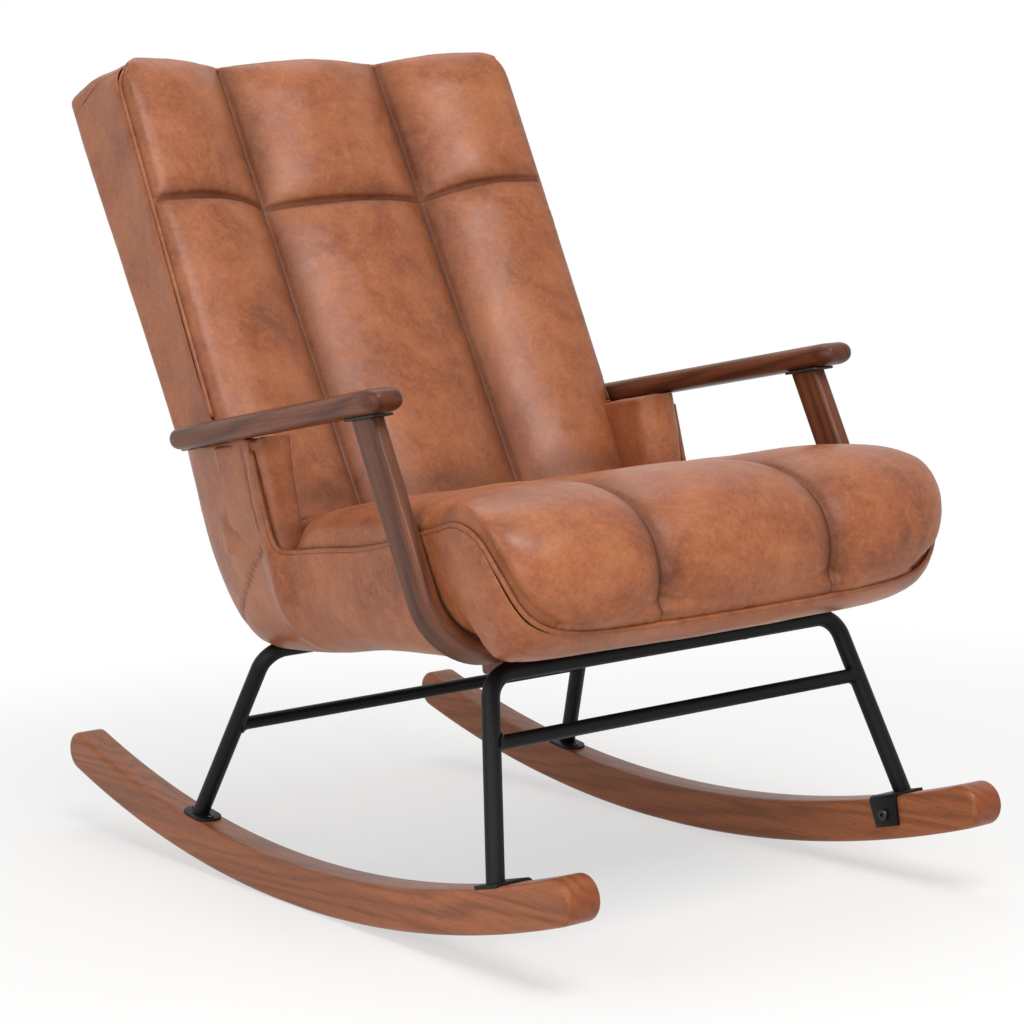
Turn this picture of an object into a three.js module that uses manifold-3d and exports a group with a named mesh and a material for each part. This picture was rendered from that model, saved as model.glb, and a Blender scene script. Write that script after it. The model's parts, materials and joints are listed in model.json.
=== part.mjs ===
// Upholstered rocking chair: channelled leather back and seat in a rounded tub,
// walnut arms on bent posts, bent steel hoops and walnut runners.
// Millimetres, +Z up. The chair faces -Y and its left side is +X. The origin is
// the point on the floor midway between the two runners, where they touch it.
import * as THREE from 'three';
import { mergeVertices } from 'three/addons/utils/BufferGeometryUtils.js';
import Module from 'manifold-3d';

const wasm = await Module();
wasm.setup();

// Fits and small common sizes
const clearance = 0.3;
const cutOverrun = 5;
const weldTolerance = 1e-4;

// Runners
const runnerSpacing = 552;
const runnerWidth = 42;
const runnerDepth = 49;
const runnerRadius = 1878;
const runnerSpan = 1118;
const runnerEdgeRound = 6;
const contactFlat = 60;

// Steel hoops, stretchers and feet
const hoopTube = 20;
const hoopWall = 1.6;
const hoopBend = 32;
const frontFootY = -412;
const frontBarY = -355.4;
const frontBarZ = 302.7;
const rearFootY = 235;
const rearBarY = 118;
const rearBarZ = 275;
const hoopCornerX = 238;
const frontFootX = 283;
const rearFootX = 278;
const stretcherTube = 16;
const frontStretcherShare = 0.66;
const rearStretcherShare = 0.55;
const weldLeg = 3;
const footPlateThickness = 4;
const footPlateInset = 1.2;
const frontPlateLength = 44;
const frontPlateWidth = 38;
const tabHeight = 32;
const tabCorner = 8;
const tabBoltDrop = 18;
const rearPlateLength = 58;
const rearPlateWidth = 34;

// Fasteners
const boltShank = 8;
const boltHead = 13;
const boltHeadHeight = 4.5;
const boltSocket = 5;
const tabBoltLength = 32;
const mountBoltLength = 34;
const frontMountBoltLength = 54;
const armBoltGrip = 32;
const screwShank = 4;
const screwHead = 7.5;
const screwHeadHeight = 2.4;
const screwSocket = 2.5;
const screwLength = 26;
const dowelDiameter = 10;
const dowelInArm = 16;
const dowelInPost = 30;

// Underside of the seat, a plane that rises towards the front
const bottomRearZ = 290.5;
const bottomRearY = 104;
const bottomRiseShare = 0.06;
const bottomHalfWidth = 225;
const bottomFrontY = -366;
const bottomBackY = 148;

// Seat frame, webbing, cover and mounts
const frameHalfWidth = 178;
const frameFrontY = -338;
const frameBackY = 92;
const frameHeight = 46;
const frameRail = 26;
const frameCorner = 30;
const coverThickness = 1;
const strapWidth = 50;
const strapThickness = 2;
const seatStrapShares = [0.2, 0.5, 0.8];
const backStrapShares = [0.36, 0.6, 0.84];
const mountPlateThickness = 3.5;
const mountPlateWidth = 56;
const mountX = 128;
const rearPlateFrontY = 58;
const rearPlateBackY = 127;
const rearBoltY = 78;
const crossRailWidth = 40;
const crossRailHeight = 20;
const crossRailHalfLength = 214;
const frontTabReach = 46;

// Tub
const tubHalfWidth = 293;
const tubReach = 499;
const tubBackRoom = 6.6;
const tubWall = 14;
const wingTop = 543;
const weltDiameter = 6;
const weltSeat = 6;

// Seat cushion
const seatCrest = 503;
const seatChannelHalf = 116;
const seatChannelDepth = 13;
const seatPanelShare = 0.35;
const cushionLip = 1;

// Back, in its own axes: across, up the recline, and out towards the sitter
const reclineDegrees = 27.7;
const backFootY = 91.5;
const backFootZ = 438;
const backHeight = 592;
const backHalfWidth = 287;
const backLowHalfWidth = 248;
const backDepth = 84;
const backWall = 12;
const backCorner = 26;
const backChannelHalf = 116;
const headrestHeight = 192;
const channelCrown = 16;
const headrestCrown = 20;
const seamDepth = 9;
const seamHalfWidth = 50;
const cushionEdge = 3;
const cushionTopLap = 18;
const cushionBoltRoom = 24;
const cushionBoltBlend = 16;
const weltRiseLow = 14;
const weltRiseHigh = 48;
const weltStartAbove = 32;

// Back frame
const backFrameHalfWidth = 238;
const backFrameHeight = 640;
const backFrameRail = 40;
const backFrameThickness = 24;
const backFrameStart = -100;

// Wings between the back cushion and the sides of the tub
const wingInner = 250;
const wingOuterTop = 274.4;
const wingOuterLow = 266.9;
const wingFrontTopY = -2;
const wingFrontLowY = -26;
const wingBackY = 96;
const wingLowZ = 425;
const wingRound = 13;

// Arms and posts
const armInner = 287.5;
const armWidth = 45;
const armThickness = 26;
const armFrontY = -306;
const armFrontZ = 597;
const armBackY = 158;
const armBackZ = 533;
const armRound = 12;
const armEndRound = 20;
const postX = 305;
const postThickness = 18;
const postDepth = 42;
const postTopY = -251;
const postSlantDegrees = 25.2;
const postBend = 66;
const postFoot = 14;
const postCorner = 5;
const postBarOffset = 19.4;
const spacerThickness = 3;
const spacerLength = 58;
const spacerWidth = 30;
const armBoltY = 141;

const degree = Math.PI / 180;
const frontToBack = new THREE.Vector3(0, 1, 0);
const upwards = new THREE.Vector3(0, 0, 1);
const toLeft = new THREE.Vector3(1, 0, 0);

// Finishes
const leather = { color: 0x9a5836, roughness: 0.5, metalness: 0 };
const leatherDark = { color: 0x87492b, roughness: 0.55, metalness: 0 };
const walnut = { color: 0x5f3b28, roughness: 0.45, metalness: 0 };
const runnerWalnut = { color: 0x7b4a31, roughness: 0.5, metalness: 0 };
const blackSteel = { color: 0x1b1c1d, roughness: 0.42, metalness: 0.6 };
const darkSteel = { color: 0x2b2b2c, roughness: 0.35, metalness: 0.9 };
const frameWood = { color: 0xc8a878, roughness: 0.75, metalness: 0 };
const webbingCloth = { color: 0x33302c, roughness: 0.95, metalness: 0 };
const coverCloth = { color: 0x151515, roughness: 1, metalness: 0 };
const blackPlastic = { color: 0x111111, roughness: 0.6, metalness: 0 };

const chair = new THREE.Group();

function addPiece(name, geometry, finish) {
  const piece = new THREE.Mesh(geometry, new THREE.MeshStandardMaterial(finish));
  piece.name = name;
  chair.add(piece);
  return piece;
}

// Solids and cuts

function positionsOnly(geometry) {
  const copy = geometry.clone();
  for (const name of Object.keys(copy.attributes)) {
    if (name !== 'position') copy.deleteAttribute(name);
  }
  return mergeVertices(copy, weldTolerance);
}

function toSolid(geometry) {
  const bare = positionsOnly(geometry);
  return new wasm.Manifold(new wasm.Mesh({
    numProp: 3,
    vertProperties: new Float32Array(bare.attributes.position.array),
    triVerts: new Uint32Array(bare.index.array),
  }));
}

function fromSolid(solid) {
  const mesh = solid.getMesh();
  const geometry = new THREE.BufferGeometry();
  geometry.setAttribute('position', new THREE.BufferAttribute(new Float32Array(mesh.vertProperties), 3));
  geometry.setIndex(new THREE.BufferAttribute(new Uint32Array(mesh.triVerts), 1));
  return geometry;
}

function cut(geometry, ...tools) {
  let solid = toSolid(geometry);
  for (const tool of tools) solid = solid.subtract(toSolid(tool));
  return fromSolid(solid);
}

function join(...geometries) {
  let solid = toSolid(geometries[0]);
  for (const geometry of geometries.slice(1)) solid = solid.add(toSolid(geometry));
  return fromSolid(solid);
}

// A rod between two points, with its middle line along them
function rodBetween(start, end, radius, sides) {
  const span = new THREE.Vector3().subVectors(end, start);
  const rod = new THREE.CylinderGeometry(radius, radius, span.length(), sides);
  const turn = new THREE.Quaternion().setFromUnitVectors(frontToBack, span.clone().normalize());
  rod.applyQuaternion(turn);
  rod.translate(...new THREE.Vector3().addVectors(start, end).multiplyScalar(0.5).toArray());
  return rod;
}

// A block of grid cells whose corner-to-corner shares -1..1 are placed by a function
function warpedBlock(across, along, through, place) {
  const block = positionsOnly(new THREE.BoxGeometry(2, 2, 2, across, along, through));
  const points = block.attributes.position;
  for (let i = 0; i < points.count; i++) {
    points.setXYZ(i, ...place(points.getX(i), points.getY(i), points.getZ(i)));
  }
  return block;
}

// Rounds the edges of a box: shares -1..1 of its half sizes become places on it
function roundedPlace(shares, half, radius) {
  const place = shares.map((share, i) => share * half[i]);
  const core = place.map((value, i) => (
    THREE.MathUtils.clamp(value, radius[i] - half[i], half[i] - radius[i])
  ));
  const past = place.map((value, i) => (value - core[i]) / radius[i]);
  const length = Math.hypot(...past);
  if (length === 0) return place;
  const reach = Math.max(...past.map(Math.abs)) / length;
  return core.map((value, i) => value + past[i] * reach * radius[i]);
}

// Crowds the grid lines of a block towards its edges
function crowded(share) {
  return Math.sin(share * Math.PI / 2);
}

// Follows straight runs joined by round bends, with a step only where the line turns
class BentLine extends THREE.Curve {
  constructor(corners, bend, stepsPerBend) {
    super();
    this.stops = [corners[0].clone()];
    this.headings = [new THREE.Vector3().subVectors(corners[1], corners[0]).normalize()];
    for (let i = 1; i < corners.length - 1; i++) {
      const before = new THREE.Vector3().subVectors(corners[i], corners[i - 1]).normalize();
      const after = new THREE.Vector3().subVectors(corners[i + 1], corners[i]).normalize();
      const angle = before.angleTo(after);
      const setback = bend * Math.tan(angle / 2);
      const axis = new THREE.Vector3().crossVectors(before, after).normalize();
      const inward = new THREE.Vector3().crossVectors(axis, before);
      const start = corners[i].clone().addScaledVector(before, -setback);
      const centre = start.clone().addScaledVector(inward, bend);
      for (let step = 0; step <= stepsPerBend; step++) {
        const turn = angle * step / stepsPerBend;
        this.stops.push(start.clone().sub(centre).applyAxisAngle(axis, turn).add(centre));
        this.headings.push(before.clone().applyAxisAngle(axis, turn));
      }
    }
    this.stops.push(corners[corners.length - 1].clone());
    this.headings.push(this.headings[this.headings.length - 1].clone());
    this.steps = this.stops.length - 1;
  }

  getPoint(share) {
    return this.stops[Math.round(share * this.steps)].clone();
  }

  getPointAt(share) {
    return this.getPoint(share);
  }

  getSpacedPoints() {
    return this.stops.map((stop) => stop.clone());
  }

  getTangentAt(share) {
    return this.headings[Math.round(share * this.steps)].clone();
  }
}

function sweep(section, line, steps) {
  return new THREE.ExtrudeGeometry(section, { extrudePath: line, steps, curveSegments: 1 });
}

function ring(radius, sides) {
  const points = [];
  for (let i = 0; i < sides; i++) {
    const angle = 2 * Math.PI * i / sides;
    points.push(new THREE.Vector2(radius * Math.cos(angle), radius * Math.sin(angle)));
  }
  return points;
}

function roundedRectangle(width, height, corner) {
  const right = width / 2;
  const top = height / 2;
  const shape = new THREE.Shape();
  shape.moveTo(corner - right, -top);
  shape.lineTo(right - corner, -top);
  shape.absarc(right - corner, corner - top, corner, -Math.PI / 2, 0);
  shape.lineTo(right, top - corner);
  shape.absarc(right - corner, top - corner, corner, 0, Math.PI / 2);
  shape.lineTo(corner - right, top);
  shape.absarc(corner - right, top - corner, corner, Math.PI / 2, Math.PI);
  shape.lineTo(-right, corner - top);
  shape.absarc(corner - right, corner - top, corner, Math.PI, 1.5 * Math.PI);
  return shape;
}

function plate(shape, thickness, roundSteps) {
  return new THREE.ExtrudeGeometry(shape, {
    depth: thickness, bevelEnabled: false, curveSegments: roundSteps,
  });
}

// A socket-head fastener: its shank starts at the seat of the head and runs along heading
function fastener(seat, heading, sizes) {
  const headSides = 10;
  const profile = [
    new THREE.Vector2(0, sizes.length),
    new THREE.Vector2(sizes.shank / 2, sizes.length),
    new THREE.Vector2(sizes.shank / 2, 0),
    new THREE.Vector2(sizes.head / 2, 0),
    new THREE.Vector2(sizes.head / 2, -sizes.headHeight / 2),
    new THREE.Vector2(sizes.head / 3, -sizes.headHeight),
    new THREE.Vector2(0, -sizes.headHeight),
  ].reverse();
  const body = new THREE.LatheGeometry(profile, headSides);
  const socket = new THREE.CylinderGeometry(sizes.socket / 2, sizes.socket / 2, sizes.headHeight, 6);
  socket.translate(0, -sizes.headHeight, 0);
  const whole = cut(body, socket);
  whole.applyQuaternion(new THREE.Quaternion().setFromUnitVectors(frontToBack, heading));
  whole.translate(...seat.toArray());
  return whole;
}

function shankHole(seat, heading, sizes) {
  const start = seat.clone().addScaledVector(heading, -cutOverrun);
  const end = seat.clone().addScaledVector(heading, sizes.length + clearance);
  return rodBetween(start, end, sizes.shank / 2 + clearance, 12);
}

const boltSizes = {
  shank: boltShank, head: boltHead, headHeight: boltHeadHeight, socket: boltSocket,
};
const screwSizes = {
  shank: screwShank, head: screwHead, headHeight: screwHeadHeight, socket: screwSocket,
};

// Runners

const runnerX = runnerSpacing / 2;
const arcCentreZ = Math.sqrt(runnerRadius ** 2 - (contactFlat / 2) ** 2);
const runnerTopRadius = runnerRadius - runnerDepth;
const runnerMidRadius = runnerRadius - runnerDepth / 2;
const runnerEndAngle = Math.asin((runnerSpan - runnerDepth) / 2 / runnerMidRadius);

function runnerTopZ(y) {
  return arcCentreZ - Math.sqrt(runnerTopRadius ** 2 - y ** 2);
}

// Floor of the shallow seat that a foot plate is let into
function plateSeatZ(y) {
  return runnerTopZ(y) - footPlateInset;
}

function runnerSlope(y) {
  return Math.asin(y / runnerTopRadius);
}

// Space that a flat foot plate is let into, on top of a runner
function plateSeat(length, y, side) {
  const seat = new THREE.BoxGeometry(2 * runnerWidth, length + 2 * clearance, runnerDepth);
  seat.translate(0, 0, runnerDepth / 2);
  return onRunner(seat, y, side);
}

function makeRunner(side) {
  const down = -Math.PI / 2;
  const flatAngle = Math.asin(contactFlat / 2 / runnerRadius);
  const endRadius = runnerDepth / 2;
  const shape = new THREE.Shape();
  shape.absarc(0, arcCentreZ, runnerRadius, down + flatAngle, down + runnerEndAngle);
  shape.absarc(
    runnerMidRadius * Math.sin(runnerEndAngle), arcCentreZ - runnerMidRadius * Math.cos(runnerEndAngle),
    endRadius, down + runnerEndAngle, runnerEndAngle - down,
  );
  shape.absarc(0, arcCentreZ, runnerTopRadius, down + runnerEndAngle, down - runnerEndAngle, true);
  shape.absarc(
    -runnerMidRadius * Math.sin(runnerEndAngle), arcCentreZ - runnerMidRadius * Math.cos(runnerEndAngle),
    endRadius, -down - runnerEndAngle, -3 * down - runnerEndAngle,
  );
  shape.absarc(0, arcCentreZ, runnerRadius, down - runnerEndAngle, down - flatAngle);
  const body = new THREE.ExtrudeGeometry(shape, {
    depth: runnerWidth - 2 * runnerEdgeRound,
    bevelSize: runnerEdgeRound,
    bevelThickness: runnerEdgeRound,
    bevelOffset: -runnerEdgeRound,
    bevelSegments: 2,
    curveSegments: 6,
  });
  body.translate(0, 0, runnerEdgeRound - runnerWidth / 2);
  body.applyMatrix4(new THREE.Matrix4().makeBasis(frontToBack, upwards, toLeft));
  body.translate(side * runnerX, 0, 0);
  return body;
}

// Hoops and stretchers

function hoopLine(footX, footY, barY, barZ) {
  const footZ = plateSeatZ(footY) + footPlateThickness + 2 * clearance;
  const corners = [[-footX, footY, footZ], [-hoopCornerX, barY, barZ],
    [hoopCornerX, barY, barZ], [footX, footY, footZ]];
  return corners.map((corner) => new THREE.Vector3(...corner));
}

const frontLine = hoopLine(frontFootX, frontFootY, frontBarY, frontBarZ);
const rearLine = hoopLine(rearFootX, rearFootY, rearBarY, rearBarZ);

const hoopSides = 14;

function makeHoop(corners, footY) {
  const section = new THREE.Shape(ring(hoopTube / 2, hoopSides));
  section.holes.push(new THREE.Path(ring(hoopTube / 2 - hoopWall, hoopSides)));
  const lengthened = [0, 3].map((i) => {
    const leg = corners[i].clone().sub(corners[i === 0 ? 1 : 2]).normalize();
    return corners[i].clone().addScaledVector(leg, hoopTube);
  });
  const line = new BentLine([lengthened[0], corners[1], corners[2], lengthened[1]], hoopBend, 5);
  const hoop = sweep(section, line, line.steps);
  const trims = [-1, 1].map((side) => {
    const trim = new THREE.BoxGeometry(3 * hoopTube, 4 * hoopTube, 4 * hoopTube);
    trim.translate(0, 0, -2 * hoopTube);
    trim.rotateX(runnerSlope(footY));
    trim.translate(side * runnerX, footY, plateSeatZ(footY) + footPlateThickness + 2 * clearance);
    return trim;
  });
  return cut(hoop, ...trims);
}

// A round bar between the legs, its ends flared by the weld and shaped to the legs
function makeStretcher(corners, share) {
  const ends = [0, 3].map((i) => corners[i].clone().lerp(corners[i === 0 ? 1 : 2], share));
  const half = ends[1].x;
  const radius = stretcherTube / 2;
  const legFace = half - hoopTube / 2;
  const profile = [
    new THREE.Vector2(0, half), new THREE.Vector2(radius + weldLeg, half),
    new THREE.Vector2(radius + weldLeg, legFace), new THREE.Vector2(radius, legFace - weldLeg),
  ];
  const mirrored = profile.map((point) => new THREE.Vector2(point.x, -point.y)).reverse();
  const bar = new THREE.LatheGeometry([...profile, ...mirrored].reverse(), 12);
  bar.rotateZ(-Math.PI / 2);
  bar.translate(0, ends[1].y, ends[1].z);
  const legRadius = (hoopTube / 2 + clearance) / Math.cos(Math.PI / hoopSides);
  const legs = [0, 3].map((i) => {
    const top = corners[i === 0 ? 1 : 2];
    const past = top.clone().sub(corners[i]).setLength(2 * hoopTube);
    return rodBetween(corners[i].clone().sub(past), top.clone().add(past), legRadius, hoopSides);
  });
  const stubs = [-1, 1].map((side) => {
    const stub = new THREE.BoxGeometry(hoopTube, 2 * hoopTube, 2 * hoopTube);
    stub.translate(side * (half + hoopTube / 2), ends[1].y, ends[1].z);
    return stub;
  });
  return cut(bar, ...legs, ...stubs);
}

// Feet

function onRunner(geometry, y, side) {
  geometry.rotateX(runnerSlope(y));
  geometry.translate(side * runnerX, y, plateSeatZ(y));
  return geometry;
}

function pointOnRunner(local, y, side) {
  return local.clone().applyAxisAngle(toLeft, runnerSlope(y))
    .add(new THREE.Vector3(side * runnerX, y, plateSeatZ(y)));
}

const tabOffset = runnerWidth / 2 + clearance;

function frontFootBolt(side) {
  const seat = new THREE.Vector3(-side * (tabOffset + footPlateThickness), 0, -tabBoltDrop);
  const heading = new THREE.Vector3(side, 0, 0);
  seat.x -= side * clearance;
  return { seat: pointOnRunner(seat, frontFootY, side), heading };
}

const tabBoltSizes = { ...boltSizes, length: tabBoltLength };

function makeFrontFoot(side) {
  const saddleShape = roundedRectangle(frontPlateWidth, frontPlateLength, tabCorner / 2);
  const saddle = plate(saddleShape, footPlateThickness, 2);
  saddle.translate(0, 0, clearance);
  const shelf = new THREE.BoxGeometry(tabOffset, frontPlateLength, footPlateThickness);
  shelf.translate(-side * (tabOffset / 2 + footPlateThickness / 2), 0, clearance + footPlateThickness / 2);
  const half = frontPlateLength / 2;
  const outline = new THREE.Shape();
  outline.moveTo(-half, clearance + footPlateThickness);
  outline.lineTo(-half, tabCorner - tabHeight);
  outline.absarc(tabCorner - half, tabCorner - tabHeight, tabCorner, Math.PI, 1.5 * Math.PI);
  outline.absarc(half - tabCorner, tabCorner - tabHeight, tabCorner, 1.5 * Math.PI, 2 * Math.PI);
  outline.lineTo(half, clearance + footPlateThickness);
  const tab = plate(outline, footPlateThickness, 3);
  tab.applyMatrix4(new THREE.Matrix4().makeBasis(frontToBack, upwards, toLeft));
  tab.translate(side > 0 ? -tabOffset - footPlateThickness : tabOffset, 0, 0);
  const bracket = onRunner(join(saddle, shelf, tab), frontFootY, side);
  const bolt = frontFootBolt(side);
  return cut(bracket, shankHole(bolt.seat, bolt.heading, tabBoltSizes));
}

const flangeScrewSizes = { ...screwSizes, length: screwLength };

function rearScrews(side) {
  const reach = (rearPlateLength + hoopTube) / 4 + clearance;
  return [-1, 1].map((end) => {
    const local = new THREE.Vector3(0, end * reach, 2 * clearance + footPlateThickness);
    const heading = upwards.clone().negate().applyAxisAngle(toLeft, runnerSlope(rearFootY));
    return { seat: pointOnRunner(local, rearFootY, side), heading };
  });
}

function makeRearFoot(side) {
  const shape = roundedRectangle(rearPlateWidth, rearPlateLength, rearPlateWidth / 2 - clearance);
  const flange = plate(shape, footPlateThickness, 4);
  flange.translate(0, 0, clearance);
  onRunner(flange, rearFootY, side);
  return cut(flange, ...rearScrews(side).map((s) => shankHole(s.seat, s.heading, flangeScrewSizes)));
}

// Seat frame and what carries it

function bottomZ(y) {
  return bottomRearZ + (bottomRearY - y) * bottomRiseShare;
}

const bottomSlope = -Math.atan(bottomRiseShare);

// Lays a flat piece, drawn in the floor plane with its middle at the origin, under the seat
function underSeat(geometry, y, lift) {
  geometry.rotateX(bottomSlope);
  geometry.translate(0, y, bottomZ(y) + lift);
  return geometry;
}

const frameLift = coverThickness + 2 * clearance;
const frameMidY = (frameFrontY + frameBackY) / 2;
const frameLength = frameBackY - frameFrontY;
const crossRailY = frontBarY + hoopTube / 2 + 1.5 * clearance + crossRailWidth / 2;

function mountBolt(side, y, drop, length) {
  const heading = upwards.clone().applyAxisAngle(toLeft, bottomSlope);
  const seat = new THREE.Vector3(side * mountX, y, bottomZ(y)).addScaledVector(heading, -drop);
  return { seat, heading, sizes: { ...boltSizes, length } };
}

const rearPlateDrop = mountPlateThickness + 2 * clearance;
const crossRailDrop = crossRailHeight + 3 * clearance;
const frontTabDrop = crossRailDrop + clearance + mountPlateThickness;
const mountBolts = [];
for (const side of [-1, 1]) {
  const name = side > 0 ? 'left' : 'right';
  mountBolts.push({
    name: `rear_mount_bolt_${name}`,
    ...mountBolt(side, rearBoltY, rearPlateDrop + clearance, mountBoltLength),
  });
  mountBolts.push({
    name: `front_mount_bolt_${name}`,
    ...mountBolt(side, crossRailY, frontTabDrop + clearance, frontMountBoltLength),
  });
}
const mountHoles = mountBolts.map((bolt) => shankHole(bolt.seat, bolt.heading, bolt.sizes));

function makeSeatFrame() {
  const outline = roundedRectangle(2 * frameHalfWidth, frameLength, frameCorner);
  const inside = roundedRectangle(
    2 * (frameHalfWidth - frameRail), frameLength - 2 * frameRail, frameCorner / 2,
  );
  outline.holes.push(new THREE.Path(inside.getPoints(2).slice(0, -1)));
  const frame = plate(outline, frameHeight, 3);
  return cut(underSeat(frame, frameMidY, frameLift), ...mountHoles);
}

function makeSeatStrap(y) {
  const strap = new THREE.BoxGeometry(2 * frameHalfWidth, strapWidth, strapThickness);
  return underSeat(strap, y, frameLift + frameHeight + clearance + strapThickness / 2);
}

function makeCrossRail() {
  const shape = roundedRectangle(crossRailWidth, crossRailHeight, crossRailHeight / 5);
  const rail = plate(shape, 2 * crossRailHalfLength, 2);
  rail.applyMatrix4(new THREE.Matrix4().makeBasis(frontToBack, upwards, toLeft));
  rail.translate(-crossRailHalfLength, 0, 0);
  underSeat(rail, crossRailY, -3 * clearance - crossRailHeight / 2);
  return cut(rail, ...mountHoles);
}

function barCut(barY, barZ) {
  const reach = 2 * hoopCornerX;
  return rodBetween(new THREE.Vector3(-reach, barY, barZ), new THREE.Vector3(reach, barY, barZ),
    hoopTube / 2 + clearance, hoopSides);
}

// A tab that reaches back from the front bar, under the cross rail
function makeFrontMountTab(side) {
  const tab = new THREE.BoxGeometry(mountPlateWidth, frontTabReach, mountPlateThickness);
  underSeat(tab, frontBarY + frontTabReach / 2, -crossRailDrop - clearance - mountPlateThickness / 2);
  tab.translate(side * mountX, 0, 0);
  return cut(tab, barCut(frontBarY, frontBarZ), ...mountHoles);
}

// A plate that lies on the rear bar and reaches forward under the frame
function makeRearMountPlate(side) {
  const length = rearPlateBackY - rearPlateFrontY;
  const flat = new THREE.BoxGeometry(mountPlateWidth, length, mountPlateThickness);
  underSeat(flat, (rearPlateBackY + rearPlateFrontY) / 2, -2 * clearance - mountPlateThickness / 2);
  flat.translate(side * mountX, 0, 0);
  return cut(flat, barCut(rearBarY, rearBarZ), ...mountHoles);
}

// The back's own directions, and the rear face of the frame inside it
const reclineTurn = reclineDegrees * degree;
const backUp = new THREE.Vector3(0, Math.sin(reclineTurn), Math.cos(reclineTurn));
const backOut = new THREE.Vector3(0, -Math.cos(reclineTurn), Math.sin(reclineTurn));
const backFrameOut = clearance + backWall - backDepth;

function backFrameRearY(z) {
  const up = (z - backFootZ - backFrameOut * backOut.z) / backUp.z;
  return backFootY + up * backUp.y + backFrameOut * backOut.y;
}

// Tub: a band of wall from a rounded ring at the bottom up to a shaped rim.
// Each row: rim across, rim along (behind the origin, or negative in front of it), rim
// height, and how far out the wall swings before it turns up, as shares of the tub's
// width, its rear or front reach, the wing's height and the way from the bottom ring.
const rimShares = [
  [0, 1, 0.945, 0.3], [0.4, 1, 0.945, 0.3], [0.72, 0.991, 0.945, 0.34],
  [0.88, 0.955, 0.946, 0.44], [0.955, 0.837, 0.949, 0.62], [0.972, 0.644, 0.959, 0.86],
  [0.976, 0.343, 0.977, 1], [0.988, 0.043, 0.997, 1], [0.992, 0.004, 0.97, 1],
  [0.998, -0.048, 0.81, 1], [1, -0.066, 0.773, 1], [1, -0.1, 0.769, 1],
  [0.997, -0.22, 0.781, 1], [0.997, -0.40, 0.797, 1], [1.003, -0.55, 0.823, 1],
  [1.014, -0.7, 0.855, 1], [1.03, -0.8, 0.873, 1], [1.033, -0.885, 0.85, 1],
  [1.01, -0.937, 0.79, 0.95], [0.94, -0.964, 0.71, 0.87], [0.84, -0.974, 0.676, 0.82],
  [0.6, -0.986, 0.662, 0.79], [0.33, -0.996, 0.659, 0.78], [0, -1, 0.658, 0.78],
];
const weltSkipCount = 8;
const weltFrontShare = 0.7;

const rearRimZ = rimShares[0][2] * wingTop;
const tubRear = backFrameRearY(rearRimZ) + tubBackRoom + tubWall;

function rimPoint([across, along, high]) {
  return new THREE.Vector3(across * tubHalfWidth, along * (along > 0 ? tubRear : tubReach), high * wingTop);
}

const rimHalf = rimShares.map((row) => ({ point: rimPoint(row), swing: row[3] }));
const rimOtherHalf = rimHalf.slice(1, -1).reverse().map(({ point, swing }) => ({
  point: new THREE.Vector3(-point.x, point.y, point.z), swing,
}));
const rimRing = [...rimHalf, ...rimOtherHalf];

// Direction in the cover, square to the rim, that points up out of the tub
function rimNormal(index) {
  const count = rimRing.length;
  const along = rimRing[(index + 1) % count].point.clone();
  along.sub(rimRing[(index + count - 1) % count].point).normalize();
  return upwards.clone().addScaledVector(along, -along.z).normalize();
}

const bottomMidY = (bottomFrontY + bottomBackY) / 2;
const bottomHalfLength = (bottomBackY - bottomFrontY) / 2;

function bottomPlace(rim) {
  const across = THREE.MathUtils.clamp(rim.x / tubHalfWidth, -1, 1) * bottomHalfWidth;
  const rearReach = rimRing[0].point.y - bottomMidY;
  const frontReach = bottomMidY + tubReach;
  const share = rim.y > bottomMidY ? (rim.y - bottomMidY) / rearReach : (rim.y - bottomMidY) / frontReach;
  const y = bottomMidY + share * bottomHalfLength;
  return new THREE.Vector3(across, y, bottomZ(y));
}

// The wall's line from the bottom ring to the rim at one place of the ring, on its
// outside or, with an inset, on its inside
function wallLine(index, inset) {
  const station = rimRing[index];
  const foot = bottomPlace(station.point);
  const top = station.point.clone().addScaledVector(rimNormal(index), -weltSeat);
  const turn = foot.clone().lerp(top, station.swing);
  turn.z = foot.z;
  const inward = new THREE.Vector3(-top.x, bottomMidY - top.y, 0).setLength(inset);
  foot.z += inset;
  turn.z += inset;
  return new THREE.QuadraticBezierCurve3(foot, turn.add(inward), top.add(inward));
}

function makeTub() {
  const rises = 6;
  const inner = 1;
  const outer = 2;
  const profile = [];
  for (let i = 0; i <= rises; i++) profile.push(new THREE.Vector2(inner, i / rises));
  for (let i = rises; i >= 0; i--) profile.push(new THREE.Vector2(outer, i / rises));
  profile.push(profile[0].clone());
  const sides = rimRing.length;
  const band = positionsOnly(new THREE.LatheGeometry(profile, sides));
  const points = band.attributes.position;
  for (let i = 0; i < points.count; i++) {
    const x = points.getX(i);
    const z = points.getZ(i);
    const turn = Math.round(Math.atan2(x, z) / (2 * Math.PI) * sides + sides) % sides;
    const onOuter = Math.hypot(x, z) > (inner + outer) / 2;
    const line = wallLine(turn, onOuter ? 0 : tubWall);
    points.setXYZ(i, ...line.getPoint(points.getY(i)).toArray());
  }
  return cut(band, ...postClearances());
}

function pulledIn(place, inset) {
  return Math.sign(place) * Math.max(0, Math.abs(place) - inset);
}

// Cover cloth: it closes the bottom of the tub, inside its wall
function makeDustCover() {
  const inset = 2 * clearance;
  const outline = rimRing.map((station) => {
    const foot = bottomPlace(station.point);
    const along = foot.y - bottomMidY;
    return new THREE.Vector2(pulledIn(foot.x, inset), pulledIn(along, inset));
  });
  const sheet = plate(new THREE.Shape(outline), coverThickness, 1);
  return cut(underSeat(sheet, bottomMidY, clearance), ...mountHoles);
}

function deckZ(y) {
  return bottomZ(y) + frameLift + frameHeight + 2 * clearance + strapThickness + clearance;
}

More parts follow.
